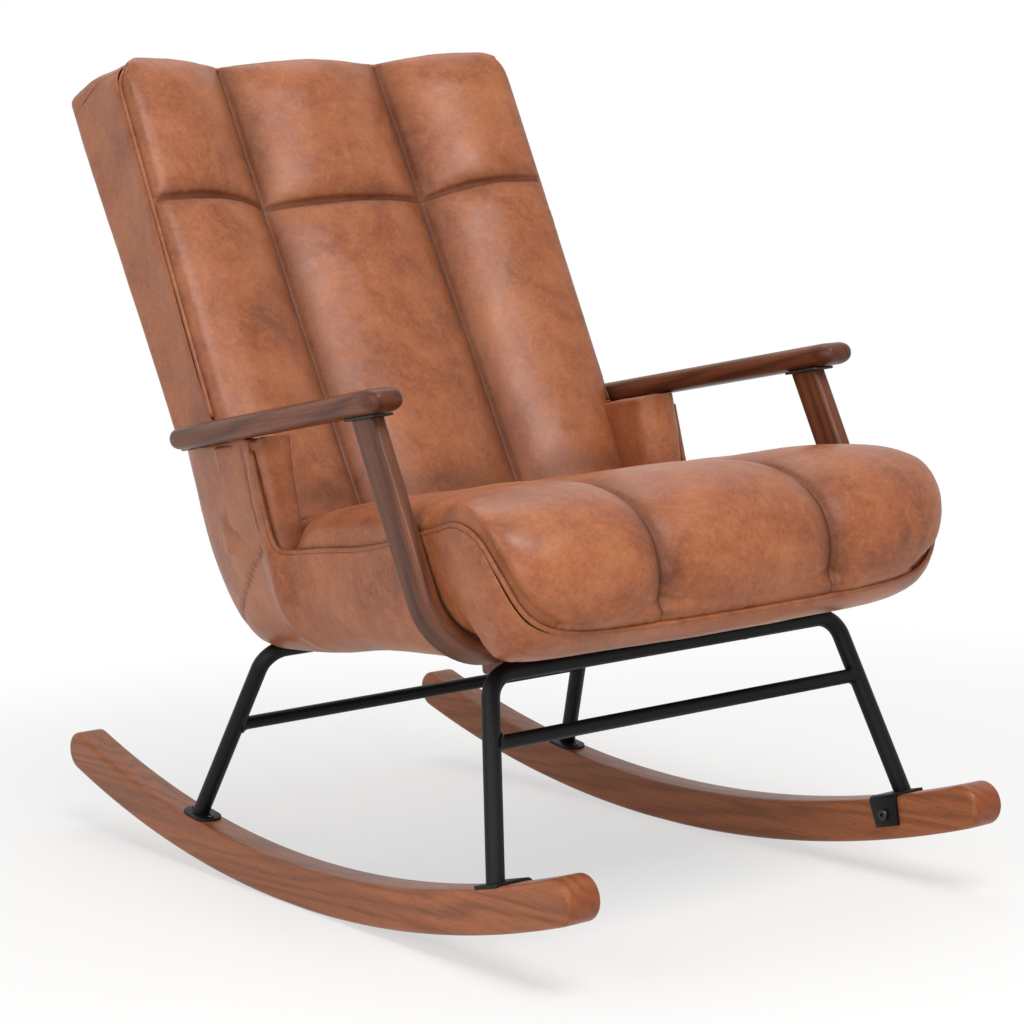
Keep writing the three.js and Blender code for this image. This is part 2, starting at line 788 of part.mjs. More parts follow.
// Seat cushion: rows from the back to the front edge, as shares of the tub's width,
// reach and crest height: edge across, edge along, edge height, crown along, crown
// height, underside along, underside height, and how far the side swells past its edge.
const seatRowShares = [
  [0.84, 0.15, 0.835, 0.165, 0.862, 0.13, 0, 0],
  [0.84, 0.06, 0.84, 0.07, 0.878, 0.06, 0, 0],
  [0.84, -0.045, 0.85, -0.03, 0.897, -0.04, 0, 0],
  [0.985, -0.12, 0.852, -0.12, 0.912, -0.12, 0, 0],
  [0.987, -0.25, 0.86, -0.26, 0.934, -0.25, 0, 0],
  [0.987, -0.40, 0.876, -0.42, 0.957, -0.38, 0, 0],
  [0.993, -0.55, 0.905, -0.57, 0.977, -0.52, 0.7, 0],
  [1.002, -0.69, 0.94, -0.71, 0.996, -0.66, 0.745, 0],
  [1.016, -0.795, 0.958, -0.82, 0.998, -0.76, 0.77, 0.02],
  [1.02, -0.88, 0.940, -0.93, 0.965, -0.82, 0.775, 0.04],
  [0.998, -0.935, 0.874, -1.0, 0.905, -0.86, 0.76, 0.045],
  [0.928, -0.965, 0.795, -1.03, 0.82, -0.90, 0.745, 0.04],
  [0.835, -0.970, 0.748, -1.022, 0.76, -0.93, 0.735, 0.02],
  [0.828, -0.973, 0.738, -1.005, 0.728, -0.95, 0.725, 0],
];

// Columns from the middle to the edge: share of the edge's distance, and how far the
// cover has rolled down from the crown to the edge there
const seatColumnShares = [
  [0, 0], [0.14, 0], [0.28, 0], [seatChannelHalf / tubHalfWidth, 0], [0.54, 0], [0.7, 0.03],
  [0.84, 0.12], [0.94, 0.36], [0.99, 0.7], [1, 1],
];
const undersideShares = [0, 0, 0, 0, 0, 0, 0.45, 0.97, 1, 1];

// Depth of a sewn channel, from none in the middle of a panel to all on the seam
function channelDip(share, seam, panel) {
  const near = share <= seam ? share / seam : Math.max(0, 1 - (share - seam) / panel);
  return near ** 4;
}

function makeSeatCushion() {
  const scale = [tubHalfWidth, tubReach, seatCrest, tubReach, seatCrest, tubReach, seatCrest, tubHalfWidth];
  const rows = seatRowShares.map((row) => row.map((share, i) => share * scale[i]));
  const curveOf = (place) => new THREE.CatmullRomCurve3(rows.map(place));
  const edges = curveOf((row) => new THREE.Vector3(row[0], row[1], row[2]));
  const crowns = curveOf((row) => new THREE.Vector3(row[7], row[3], row[4]));
  const unders = curveOf((row) => new THREE.Vector3(0, row[5], row[6]));
  const last = seatColumnShares.length - 1;
  const along = 18;
  const seam = seatColumnShares[3][0];
  return warpedBlock(2 * last, along, 1, (a, b, c) => {
    const share = (1 - b) / 2;
    const column = Math.round(Math.abs(a) * last);
    const [side, roll] = seatColumnShares[column];
    const edge = edges.getPoint(share);
    const x = Math.sign(a) * side * edge.x;
    if (c < 0) {
      const under = unders.getPoint(share);
      under.z = Math.max(under.z, deckZ(under.y));
      under.lerp(edge, undersideShares[column]);
      const open = undersideShares[column] === 0 && share < 1;
      return [x, under.y, under.z - (open ? 0 : cushionLip)];
    }
    const crown = crowns.getPoint(share);
    const swell = Math.sign(a) * crown.x * 4 * roll * (1 - roll);
    const forward = crowns.getTangent(share);
    const outward = new THREE.Vector3(0, forward.z, -forward.y).normalize();
    const place = crown.lerp(edge, roll);
    place.addScaledVector(outward, -seatChannelDepth * channelDip(side, seam, seatPanelShare) * (1 - roll));
    return [x + swell, place.y, place.z + cushionLip];
  });
}

// Back: from its own axes to the chair's


function backPlace(across, up, out) {
  const place = new THREE.Vector3(across, backFootY, backFootZ);
  return place.addScaledVector(backUp, up).addScaledVector(backOut, out).toArray();
}

// How far the side edge's welt stands out from the channel seams, along the back
function weltOut(up) {
  return THREE.MathUtils.lerp(weltRiseLow, weltRiseHigh, THREE.MathUtils.clamp(up / backHeight, 0, 1));
}

const backWeltSeat = weltDiameter / 2 + clearance;

// The lower edge of the back shell runs along the under edge of the arms
const armSlope = (armBackZ - armFrontZ) / (armBackY - armFrontY);

function armUnderZ(y) {
  return armFrontZ + (y - armFrontY) * armSlope - armThickness / 2 / Math.cos(Math.atan(armSlope));
}

function shellStart(out) {
  const foot = backPlace(0, 0, out);
  const climb = backUp.z - armSlope * backUp.y;
  return (armUnderZ(foot[1]) - foot[2]) / climb;
}

// The shell's outer form, or with an inset the space inside it, open at the front
function shellBlock(inset, frontExtra) {
  const corner = backCorner - inset;
  const top = backHeight - inset;
  return warpedBlock(12, 7, 5, (a, b, c) => {
    const rise = crowded((b + 1) / 2);
    const depth = weltOut(rise * top) + frontExtra + backDepth - inset;
    const [x, up, back] = roundedPlace([crowded(a), rise, -crowded((1 - c) / 2)],
      [backHalfWidth - inset, top, depth], [corner, corner, corner]);
    const out = weltOut(up) + frontExtra + back;
    const start = shellStart(out) + clearance - (inset > 0 ? cutOverrun : 0);
    return backPlace(x, THREE.MathUtils.lerp(start, top, up / top), out);
  });
}

function makeBackShell() {
  const holes = [-1, 1].map((side) => {
    const bolt = rearArmBolt(side);
    return shankHole(bolt.seat, bolt.heading, armBoltSizes);
  });
  return cut(shellBlock(0, 0), shellBlock(backWall, cutOverrun + backCorner), ...holes);
}

// Back cushion: three channels under a padded headrest band
const backColumnShares = [0, 0.14, 0.28, backChannelHalf / backHalfWidth, 0.53, 0.68, 0.82, 0.93, 0.952, 1];
const backEdgeColumns = 2;
const backPanelShare = 0.3;
const backSideRollShare = 0.7;
const backTopRollShare = 0.72;
const bandShare = 1 - headrestHeight / backHeight;
const backRowShares = [0.015, 0.058, 0.103, 0.14, 0.18, 0.22, 0.27, 0.34, 0.43, 0.52, 0.6, 0.645,
  bandShare, 0.705, 0.75, 0.82, 0.885, 0.945, 0.976, 1];
const cushionBack = backDepth - backWall - backFrameThickness - strapThickness - 3 * clearance;

// Rolls a surface off towards an edge, from none at the start share to all at the edge
function edgeRoll(share, start) {
  const past = Math.max(0, share - start) / (1 - start);
  return 1 - Math.sqrt(Math.max(0, 1 - past * past));
}

// The cushion is narrow under the arms' bolts and full above them
function backHalfAt(up) {
  const start = shellStart(weltOut(0)) + cushionBoltRoom;
  const wide = THREE.MathUtils.smoothstep(up, start, start + cushionBoltBlend);
  return THREE.MathUtils.lerp(backLowHalfWidth, backHalfWidth, wide);
}

function makeBackCushion() {
  const last = backColumnShares.length - 1;
  const along = backRowShares.length - 1;
  const seam = backColumnShares[3];
  const bandStart = bandShare * backHeight;
  return warpedBlock(2 * last, along, 1, (a, b, c) => {
    const column = Math.round(Math.abs(a) * last);
    const side = backColumnShares[column];
    const row = backRowShares[Math.round((b + 1) / 2 * along)];
    const half = backHalfAt(row * backHeight);
    const [x, up] = roundedPlace([Math.sign(a) * side, row, 0], [half, backHeight, 1],
      [backCorner, backCorner, 1]);
    const welt = weltOut(up) + 2 * backWeltSeat;
    const atTop = up > backHeight - cushionTopLap;
    const atSide = column > last - backEdgeColumns;
    const onRim = up > shellStart(weltOut(up)) && (atTop || atSide);
    const back = onRim ? welt : -cushionBack;
    if (c < 0) return backPlace(x, up, back);
    const topShare = Math.max(0, b);
    const roll = Math.max(edgeRoll(side, backSideRollShare), edgeRoll(topShare, backTopRollShare));
    const past = Math.max(0, (side - seam) / (1 - seam));
    const fromBand = (up - bandStart) / seamHalfWidth;
    const bandDip = seamDepth * Math.max(0, 1 - fromBand * fromBand);
    const crown = up > bandStart ? headrestCrown : channelCrown;
    const puff = (crown * (1 - channelDip(side, seam, backPanelShare)) - bandDip) * (1 - roll);
    return backPlace(x, up, Math.max(welt * past + puff, back) + cushionEdge);
  });
}

// Back frame and its webbing

function makeBackFrame() {
  const outline = roundedRectangle(2 * backFrameHalfWidth, backFrameHeight, backFrameRail / 2);
  const inside = roundedRectangle(
    2 * (backFrameHalfWidth - backFrameRail), backFrameHeight - 2 * backFrameRail, backFrameRail / 2,
  );
  outline.holes.push(new THREE.Path(inside.getPoints(2).slice(0, -1)));
  const frame = plate(outline, backFrameThickness, 3);
  const turn = new THREE.Matrix4().makeBasis(toLeft, backUp, backOut);
  frame.applyMatrix4(turn);
  frame.translate(...backPlace(0, backFrameStart + backFrameHeight / 2, backFrameOut));
  const below = new THREE.BoxGeometry(3 * backFrameHalfWidth, frameLength, 4 * frameHeight);
  underSeat(below, frameBackY, frameLift + frameHeight + clearance - 2 * frameHeight);
  return cut(frame, below);
}

function makeBackStrap(share) {
  const strap = new THREE.BoxGeometry(2 * backFrameHalfWidth, strapWidth, strapThickness);
  strap.applyMatrix4(new THREE.Matrix4().makeBasis(toLeft, backUp, backOut));
  const out = backFrameOut + clearance + backFrameThickness + strapThickness / 2;
  strap.translate(...backPlace(0, backFrameStart + share * backFrameHeight, out));
  return strap;
}

// Wings

function makeWing(side) {
  return warpedBlock(4, 6, 6, (a, b, c) => {
    const rise = (c + 1) / 2;
    const front = THREE.MathUtils.lerp(wingFrontLowY, wingFrontTopY, rise);
    const length = (wingBackY - front) / 2;
    const outer = THREE.MathUtils.lerp(wingOuterLow, wingOuterTop, rise);
    const half = (outer - wingInner) / 2;
    const corner = Math.min(wingRound, half);
    const [x, y] = roundedPlace([crowded(a), crowded(b), 0], [half, length, 1], [corner, wingRound, 1]);
    const place = (wingBackY + front) / 2 + y;
    const top = armUnderZ(place) - 2 * clearance;
    return [side * (outer + wingInner) / 2 + x, place, THREE.MathUtils.lerp(wingLowZ, top, rise)];
  });
}

// Welts: a round cord in the seam between two covers

function makeSeatWelt() {
  const inset = weltDiameter / 2;
  const stations = rimShares.slice(weltSkipCount).map((row) => {
    const point = rimPoint(row);
    point.x -= row[0] > 0 ? inset : 0;
    point.y += row[0] < weltFrontShare ? inset : 0;
    return point;
  });
  const mirrored = stations.slice(0, -1).map((point) => new THREE.Vector3(-point.x, point.y, point.z));
  const line = new THREE.CatmullRomCurve3([...stations, ...mirrored.reverse()]);
  return sweep(new THREE.Shape(ring(weltDiameter / 2, 6)), line, 60);
}

function makeBackWelt() {
  const inset = weltDiameter / 2;
  const x = backHalfWidth - inset;
  const start = shellStart(weltOut(0)) + weltStartAbove;
  const top = backHeight - inset;
  const turn = backCorner;
  const cornerCut = turn * (1 - Math.SQRT1_2);
  const place = (across, up) => new THREE.Vector3(...backPlace(across, up, weltOut(up) + backWeltSeat));
  const left = [0, 0.35, 0.7, 1].map((share) => place(x, THREE.MathUtils.lerp(start, top - turn, share)));
  left.push(place(x - cornerCut, top - cornerCut), place(x - turn, top), place(x / 2, top));
  const right = left.map((point) => new THREE.Vector3(-point.x, point.y, point.z)).reverse();
  const line = new THREE.CatmullRomCurve3([...left, ...right]);
  return sweep(new THREE.Shape(ring(weltDiameter / 2, 6)), line, 44);
}

// Arms and posts

const armTilt = Math.atan(armSlope);
const armLength = Math.hypot(armBackY - armFrontY, armBackZ - armFrontZ);
const armX = armInner + armWidth / 2;

const armMiddle = new THREE.Vector3(0, (armFrontY + armBackY) / 2, (armFrontZ + armBackZ) / 2);

function armPoint(x, along, lift) {
  const place = new THREE.Vector3(0, along, lift).applyAxisAngle(toLeft, armTilt).add(armMiddle);
  place.x = x;
  return place;
}

function onArm(geometry, along, lift, side) {
  geometry.rotateX(armTilt);
  geometry.translate(...armPoint(side * armX, along, lift).toArray());
  return geometry;
}

const slant = postSlantDegrees * degree;
const postDown = new THREE.Vector3(0, -Math.sin(slant), -Math.cos(slant));
const spacerAlong = (postTopY - armMiddle.y) / Math.cos(armTilt);
const postTopZ = armUnderZ(postTopY) - spacerThickness - 2 * clearance;

// A bolt from inside the back shell into the end of the arm
function rearArmBolt(side) {
  const seat = new THREE.Vector3(
    side * (backHalfWidth - backWall - clearance), armBoltY, armUnderZ(armBoltY) + armThickness / 2,
  );
  return { seat, heading: new THREE.Vector3(side, 0, 0) };
}

const armBoltSizes = { ...boltSizes, length: backWall + armBoltGrip };

// A dowel through the spacer, square to the arm, between the arm and its post
function armDowel(side, grow) {
  const top = armPoint(side * postX, spacerAlong, dowelInArm - armThickness / 2 + grow);
  const depth = armThickness / 2 + spacerThickness + dowelInPost + grow;
  const low = armPoint(side * postX, spacerAlong, -depth);
  return rodBetween(low, top, dowelDiameter / 2 + grow, 12);
}

function makeArm(side) {
  const bar = warpedBlock(5, 12, 5, (a, b, c) => roundedPlace(
    [crowded(a), crowded(b), crowded(c)],
    [armWidth / 2, armLength / 2, armThickness / 2], [armRound, armEndRound, armRound],
  ));
  onArm(bar, 0, 0, side);
  const bolt = rearArmBolt(side);
  return cut(bar, shankHole(bolt.seat, bolt.heading, armBoltSizes), armDowel(side, clearance));
}

function postLine(side, lengthen) {
  const top = new THREE.Vector3(side * postX, postTopY, postTopZ);
  const bar = new THREE.Vector3(0, frontBarY, frontBarZ);
  const run = postDown.dot(bar.clone().sub(top)) - postBarOffset;
  const corner = top.clone().addScaledVector(postDown, run);
  const end = corner.clone();
  end.x = side * (postX - postBend - postFoot - lengthen);
  const start = top.clone().addScaledVector(postDown, -postDepth / 2);
  return new BentLine([start, corner, end], postBend, 7);
}

function postSweep(side, grow) {
  const line = postLine(side, grow);
  const shape = roundedRectangle(postThickness + 2 * grow, postDepth + 2 * grow, postCorner);
  return new THREE.ExtrudeGeometry(shape, { extrudePath: line, steps: line.steps, curveSegments: 1 });
}

function postClearances() {
  return [-1, 1].map((side) => postSweep(side, clearance));
}

function makePost(side) {
  const trim = new THREE.BoxGeometry(3 * postDepth, 3 * postDepth, 2 * postDepth);
  trim.translate(0, 0, postDepth - spacerThickness - 2 * clearance - armThickness / 2);
  onArm(trim, spacerAlong, 0, side);
  return cut(postSweep(side, 0), trim, armDowel(side, clearance));
}

function makeSpacer(side) {
  const sheet = plate(roundedRectangle(spacerWidth, spacerLength, postCorner), spacerThickness, 2);
  sheet.translate(side * (postX - armX), 0, 0);
  onArm(sheet, spacerAlong, -armThickness / 2 - clearance - spacerThickness, side);
  return cut(sheet, armDowel(side, clearance));
}

// Assembly

for (const side of [-1, 1]) {
  const name = side > 0 ? 'left' : 'right';
  const tabBolt = frontFootBolt(side);
  const screws = rearScrews(side);
  const runnerHoles = [shankHole(tabBolt.seat, tabBolt.heading, tabBoltSizes),
    ...screws.map((screw) => shankHole(screw.seat, screw.heading, flangeScrewSizes)),
    plateSeat(frontPlateLength, frontFootY, side), plateSeat(rearPlateLength, rearFootY, side)];
  addPiece(`runner_${name}`, cut(makeRunner(side), ...runnerHoles), runnerWalnut);
  addPiece(`front_foot_bracket_${name}`, makeFrontFoot(side), blackSteel);
  addPiece(`front_foot_bolt_${name}`, fastener(tabBolt.seat, tabBolt.heading, tabBoltSizes), darkSteel);
  addPiece(`rear_foot_flange_${name}`, makeRearFoot(side), blackSteel);
  screws.forEach(({ seat, heading }, i) => {
    addPiece(`rear_foot_screw_${name}_${i + 1}`, fastener(seat, heading, flangeScrewSizes), darkSteel);
  });
  addPiece(`front_mount_tab_${name}`, makeFrontMountTab(side), blackSteel);
  addPiece(`rear_mount_plate_${name}`, makeRearMountPlate(side), blackSteel);
  addPiece(`arm_post_${name}`, makePost(side), walnut);
  addPiece(`arm_spacer_${name}`, makeSpacer(side), blackPlastic);
  addPiece(`arm_dowel_${name}`, armDowel(side, 0), frameWood);
  addPiece(`armrest_${name}`, makeArm(side), walnut);
  const armBolt = rearArmBolt(side);
  addPiece(`arm_bolt_${name}`, fastener(armBolt.seat, armBolt.heading, armBoltSizes), darkSteel);
  addPiece(`side_wing_${name}`, makeWing(side), leather);
}
addPiece('front_hoop', makeHoop(frontLine, frontFootY), blackSteel);
addPiece('rear_hoop', makeHoop(rearLine, rearFootY), blackSteel);
addPiece('front_stretcher', makeStretcher(frontLine, frontStretcherShare), blackSteel);
addPiece('rear_stretcher', makeStretcher(rearLine, rearStretcherShare), blackSteel);
for (const bolt of mountBolts) addPiece(bolt.name, fastener(bolt.seat, bolt.heading, bolt.sizes), darkSteel);
addPiece('front_cross_rail', makeCrossRail(), walnut);
addPiece('seat_frame', makeSeatFrame(), frameWood);
addPiece('dust_cover', makeDustCover(), coverCloth);
seatStrapShares.forEach((share, i) => {
  addPiece(`seat_strap_${i + 1}`, makeSeatStrap(frameFrontY + share * frameLength), webbingCloth);
});
addPiece('seat_tub', makeTub(), leather);
addPiece('seat_cushion', makeSeatCushion(), leather);
addPiece('seat_welt', makeSeatWelt(), leatherDark);
addPiece('back_frame', makeBackFrame(), frameWood);
backStrapShares.forEach((share, i) => {
  addPiece(`back_strap_${i + 1}`, makeBackStrap(share), webbingCloth);
});
addPiece('back_shell', makeBackShell(), leather);
addPiece('back_cushion', makeBackCushion(), leather);
addPiece('back_welt', makeBackWelt(), leatherDark);

export default chair;
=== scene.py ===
import json
import math

import bmesh
import bpy
from bpy.props import FloatProperty, FloatVectorProperty, IntProperty, PointerProperty
from mathutils import Matrix, Vector, noise
from mathutils.bvhtree import BVHTree
from mathutils.kdtree import KDTree


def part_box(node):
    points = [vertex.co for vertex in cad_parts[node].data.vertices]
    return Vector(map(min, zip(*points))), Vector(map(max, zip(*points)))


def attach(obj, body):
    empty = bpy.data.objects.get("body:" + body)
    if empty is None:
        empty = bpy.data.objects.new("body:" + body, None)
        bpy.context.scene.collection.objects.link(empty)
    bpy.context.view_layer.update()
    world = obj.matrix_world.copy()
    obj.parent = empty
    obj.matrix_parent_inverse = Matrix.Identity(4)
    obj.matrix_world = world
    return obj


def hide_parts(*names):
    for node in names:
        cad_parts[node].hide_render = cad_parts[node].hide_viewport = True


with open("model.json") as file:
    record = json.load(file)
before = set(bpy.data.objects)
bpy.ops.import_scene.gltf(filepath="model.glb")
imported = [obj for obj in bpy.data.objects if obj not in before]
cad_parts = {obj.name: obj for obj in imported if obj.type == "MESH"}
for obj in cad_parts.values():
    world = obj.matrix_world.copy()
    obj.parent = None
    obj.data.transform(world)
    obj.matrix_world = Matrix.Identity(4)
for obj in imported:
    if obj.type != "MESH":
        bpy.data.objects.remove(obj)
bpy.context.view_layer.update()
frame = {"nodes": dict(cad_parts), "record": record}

bl_info = {
    "name": "Rocking chair",
    "version": (1, 0, 0),
    "blender": (4, 5, 0),
    "location": "View3D > Sidebar > Chair",
    "description": "Builds the leather, walnut and steel of an upholstered rocking chair",
    "category": "Add Mesh",
}

MM = 0.001
UP = Vector((0, 0, 1))
LEFT = Vector((1, 0, 0))
REAR = Vector((0, 1, 0))
SIDES = {"right": -1, "left": 1}
CLEARANCE = 0.3 * MM


def linear(code):
    """Linear colour of an sRGB hex value."""
    shares = [int(code[i:i + 2], 16) / 255 for i in (0, 2, 4)]
    return tuple(s / 12.92 if s <= 0.04045 else ((s + 0.055) / 1.055) ** 2.4 for s in shares)


# Runners and feet
RUNNER_LOW, RUNNER_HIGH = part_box("runner_left")
RUNNER_X = (RUNNER_LOW.x + RUNNER_HIGH.x) / 2
RUNNER_WIDTH = RUNNER_HIGH.x - RUNNER_LOW.x
RUNNER_SPAN = RUNNER_HIGH.y - RUNNER_LOW.y
RUNNER_DEPTH = 49 * MM
RUNNER_RADIUS = 1878 * MM
RUNNER_ROUND = 6 * MM
CONTACT_FLAT = 60 * MM
ARC_CENTRE_Z = math.sqrt(RUNNER_RADIUS ** 2 - (CONTACT_FLAT / 2) ** 2)
RUNNER_TOP_RADIUS = RUNNER_RADIUS - RUNNER_DEPTH
FRONT_FOOT_Y = -412 * MM
REAR_FOOT_Y = 235 * MM
FOOT_PLATE = 4 * MM
FOOT_PLATE_INSET = 1.2 * MM

# Steel hoops
HOOP_CORNER_X = 238 * MM
HOOP_BEND = 32 * MM
FRONT_FOOT_X = 283 * MM
REAR_FOOT_X = 278 * MM
FRONT_BAR = Vector((0, -355.4 * MM, 302.7 * MM))
REAR_BAR = Vector((0, 118 * MM, 275 * MM))
FRONT_STRETCHER_SHARE = 0.66
REAR_STRETCHER_SHARE = 0.55

# Tub
TUB_HALF = 293 * MM
TUB_REACH = 499 * MM
TUB_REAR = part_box("seat_tub")[1].y
TUB_WALL = 14 * MM
WING_TOP = 543 * MM
WELT_SEAT = 6 * MM
BOTTOM_REAR_Z = 290.5 * MM
BOTTOM_REAR_Y = 104 * MM
BOTTOM_RISE = 0.06
BOTTOM_HALF = 225 * MM
BOTTOM_FRONT_Y = -366 * MM
BOTTOM_BACK_Y = 148 * MM
BOTTOM_MIDDLE_Y = (BOTTOM_FRONT_Y + BOTTOM_BACK_Y) / 2
SEAT_CREST = 503 * MM

# Back, in its own directions: up the recline, and out towards the sitter
RECLINE = math.radians(27.7)
BACK_FOOT = Vector((0, 91.5 * MM, 438 * MM))
BACK_UP = Vector((0, math.sin(RECLINE), math.cos(RECLINE)))
BACK_OUT = Vector((0, -math.cos(RECLINE), math.sin(RECLINE)))
BACK_HEIGHT = 592 * MM
BACK_HALF = 287 * MM
BACK_LOW_HALF = 275 * MM
BAND_START = 400 * MM
WELT_OUT_LOW = 14 * MM
WELT_OUT_HIGH = 48 * MM
TOP_RISE = 12 * MM
TOP_CORNER = 44 * MM
REAR_CORNER = 12 * MM
REAR_RISE = 12 * MM
REAR_ROUND = 15 * MM
SHELL_DEPTH_LOW, SHELL_DEPTH_HIGH = 79 * MM, 87 * MM
SHELL_WALL = 3.5 * MM
# How full the channels still are at the headrest's lower seam and at the top edge
BAND_FLOOR = 0.62
TOP_FLOOR = 0.25

# Arms and posts
ARM_WIDTH = 45 * MM
ARM_THICK = 26 * MM
ARM_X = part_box("armrest_left")[0].x + ARM_WIDTH / 2
ARM_FRONT = Vector((0, -306 * MM, 597 * MM))
ARM_REAR = Vector((0, 158 * MM, 533 * MM))
ARM_ROUND = 12 * MM
ARM_END_ROUND = 20 * MM
POST_X = 305 * MM
POST_THICK = 18 * MM
POST_DEPTH = 42 * MM
POST_TOP_Y = -251 * MM
POST_SLANT = math.radians(25.2)
POST_BEND = 66 * MM
POST_FOOT = 14 * MM
POST_CORNER = 5 * MM
POST_BAR_OFFSET = 19.4 * MM
SPACER = 3 * MM
SPACER_WIDTH, SPACER_LENGTH = 30 * MM, 58 * MM

# Wings
WING_INNER = 250 * MM
WING_OUTER_LOW, WING_OUTER_HIGH = 297 * MM, 305 * MM
WING_FRONT_LOW, WING_FRONT_HIGH = -31 * MM, -5 * MM
WING_REAR = 108 * MM
WING_SUNK = 24 * MM

# Feet and fasteners
SADDLE_LENGTH = 44 * MM
TAB_DROP = 32 * MM
TAB_CORNER = 8 * MM
FLANGE_WIDTH, FLANGE_LENGTH, FLANGE_CORNER = 34 * MM, 58 * MM, 16.7 * MM
# Head diameter, head height and shank diameter
BOLT = (13 * MM, 4.5 * MM, 8 * MM)
SCREW = (7.5 * MM, 2.4 * MM, 4 * MM)

# The camera, solved from the straight and parallel edges of the chair
LENS, SENSOR = 95.24, 36
CAMERA_PLACE = Vector((-1.79329, -2.67002, 0.80596))
CAMERA_RIGHT = Vector((0.81898, -0.57149, -0.05171))
CAMERA_UP = Vector((0.11017, 0.06817, 0.99158))
CAMERA_BACK = Vector((-0.56315, -0.81778, 0.11878))

# Paper sweep and light
SWEEP_RADIUS, SWEEP_BEND = 5.0, 1.4
SWEEP_STEPS = 8
# Strength of the room's light on the chair
ROOM_LIGHT = 0.25


class ChairSizes(bpy.types.PropertyGroup):
    """Sizes that a maker would change."""
    seam: FloatProperty(
        name="Channel seam", description="Distance from the middle to each channel seam",
        default=116 * MM, unit="LENGTH")
    crown: FloatProperty(
        name="Channel crown", description="How far the back's channels stand out of their seams",
        default=33 * MM, unit="LENGTH")
    headrest_crown: FloatProperty(
        name="Headrest crown", description="How far the headrest panels stand out of their seams",
        default=35 * MM, unit="LENGTH")
    seat_crown: FloatProperty(
        name="Seat crown", description="How far the seat's channels stand out of their seams",
        default=15 * MM, unit="LENGTH")
    welt: FloatProperty(
        name="Welt", description="Thickness of the sewn welts", default=6 * MM, unit="LENGTH")
    thread: FloatProperty(
        name="Seam line", description="Thickness of the folded edge that shows in a plain seam",
        default=1.6 * MM, unit="LENGTH")
    tube: FloatProperty(
        name="Hoop tube", description="Diameter of the bent hoops", default=20 * MM, unit="LENGTH")
    stretcher: FloatProperty(
        name="Stretcher", description="Diameter of the round stretchers", default=16 * MM, unit="LENGTH")
    cells: IntProperty(
        name="Panel cells", description="Grid cells across one sewn panel before it is subdivided",
        default=22, min=8, max=40)


class ChairColours(bpy.types.PropertyGroup):
    """Colours that a maker would change."""
    leather: FloatVectorProperty(
        name="Leather", description="Middle tone of the leather", subtype="COLOR",
        default=linear("8a4b2d"))
    leather_light: FloatVectorProperty(
        name="Leather, stretched", description="Tone where the waxed hide is pulled thin", subtype="COLOR",
        default=linear("b17049"))
    # Besides the clouds, this dark tone is laid on as painted shade in creases, along seams and towards
    # edges.
    leather_dark: FloatVectorProperty(
        name="Leather, dark", description="Tone of the clouds and creases", subtype="COLOR",
        default=linear("4e2616"))
    walnut: FloatVectorProperty(
        name="Walnut", description="Middle tone of the arms and posts", subtype="COLOR",
        default=linear("623723"))
    runner: FloatVectorProperty(
        name="Runner walnut", description="Middle tone of the runners", subtype="COLOR",
        default=linear("8f5331"))
    steel: FloatVectorProperty(
        name="Powder coat", description="Colour of the hoops and feet", subtype="COLOR",
        default=linear("0b0c0d"))
    floor: FloatVectorProperty(
        name="Floor", description="Colour of the floor and backdrop", subtype="COLOR",
        default=linear("f4f3f1"))


# Nodes and materials

def add_node(holder, kind, inputs=None, stops=(), **settings):
    """Adds a node to a material or a world, with its settings, its inputs and the stops of its
    colour ramp, which may be grey levels. A node given as an input is linked by the first of
    its outputs that is in use."""
    node = holder.node_tree.nodes.new(kind)
    for name, value in settings.items():
        setattr(node, name, value)
    while stops and len(node.color_ramp.elements) < len(stops):
        node.color_ramp.elements.new(0.5)
    for i, (place, colour) in enumerate(stops):
        levels = colour if isinstance(colour, (tuple, list)) else (colour, colour, colour)
        node.color_ramp.elements[i].position = place
        node.color_ramp.elements[i].color = (*levels, 1)
    for name, value in (inputs or {}).items():
        in_use = [s for s in node.inputs if s.enabled and s.name == name]
        socket = in_use[0] if in_use else node.inputs[name]
        source = value
        if isinstance(value, bpy.types.Node):
            source = [s for s in value.outputs if s.enabled][0]
        if isinstance(source, bpy.types.NodeSocket):
            holder.node_tree.links.new(source, socket)
        elif socket.type == "RGBA" and len(source) == 3:
            socket.default_value = (*source, 1)
        else:
            socket.default_value = source
    return node


def layered(material, tone, layers):
    """Lays colours over a tone in turn, each by its own share."""
    for share, colour in layers:
        tone = add_node(material, "ShaderNodeMix", {"Factor": share, "A": tone, "B": colour},
                        data_type="RGBA")
    return tone


def start_material(name):
    material = bpy.data.materials.new(name)
    material.use_nodes = True
    material.node_tree.nodes.clear()
    return material


def end_material(material, surface):
    add_node(material, "ShaderNodeOutputMaterial", {"Surface": surface})
    return material


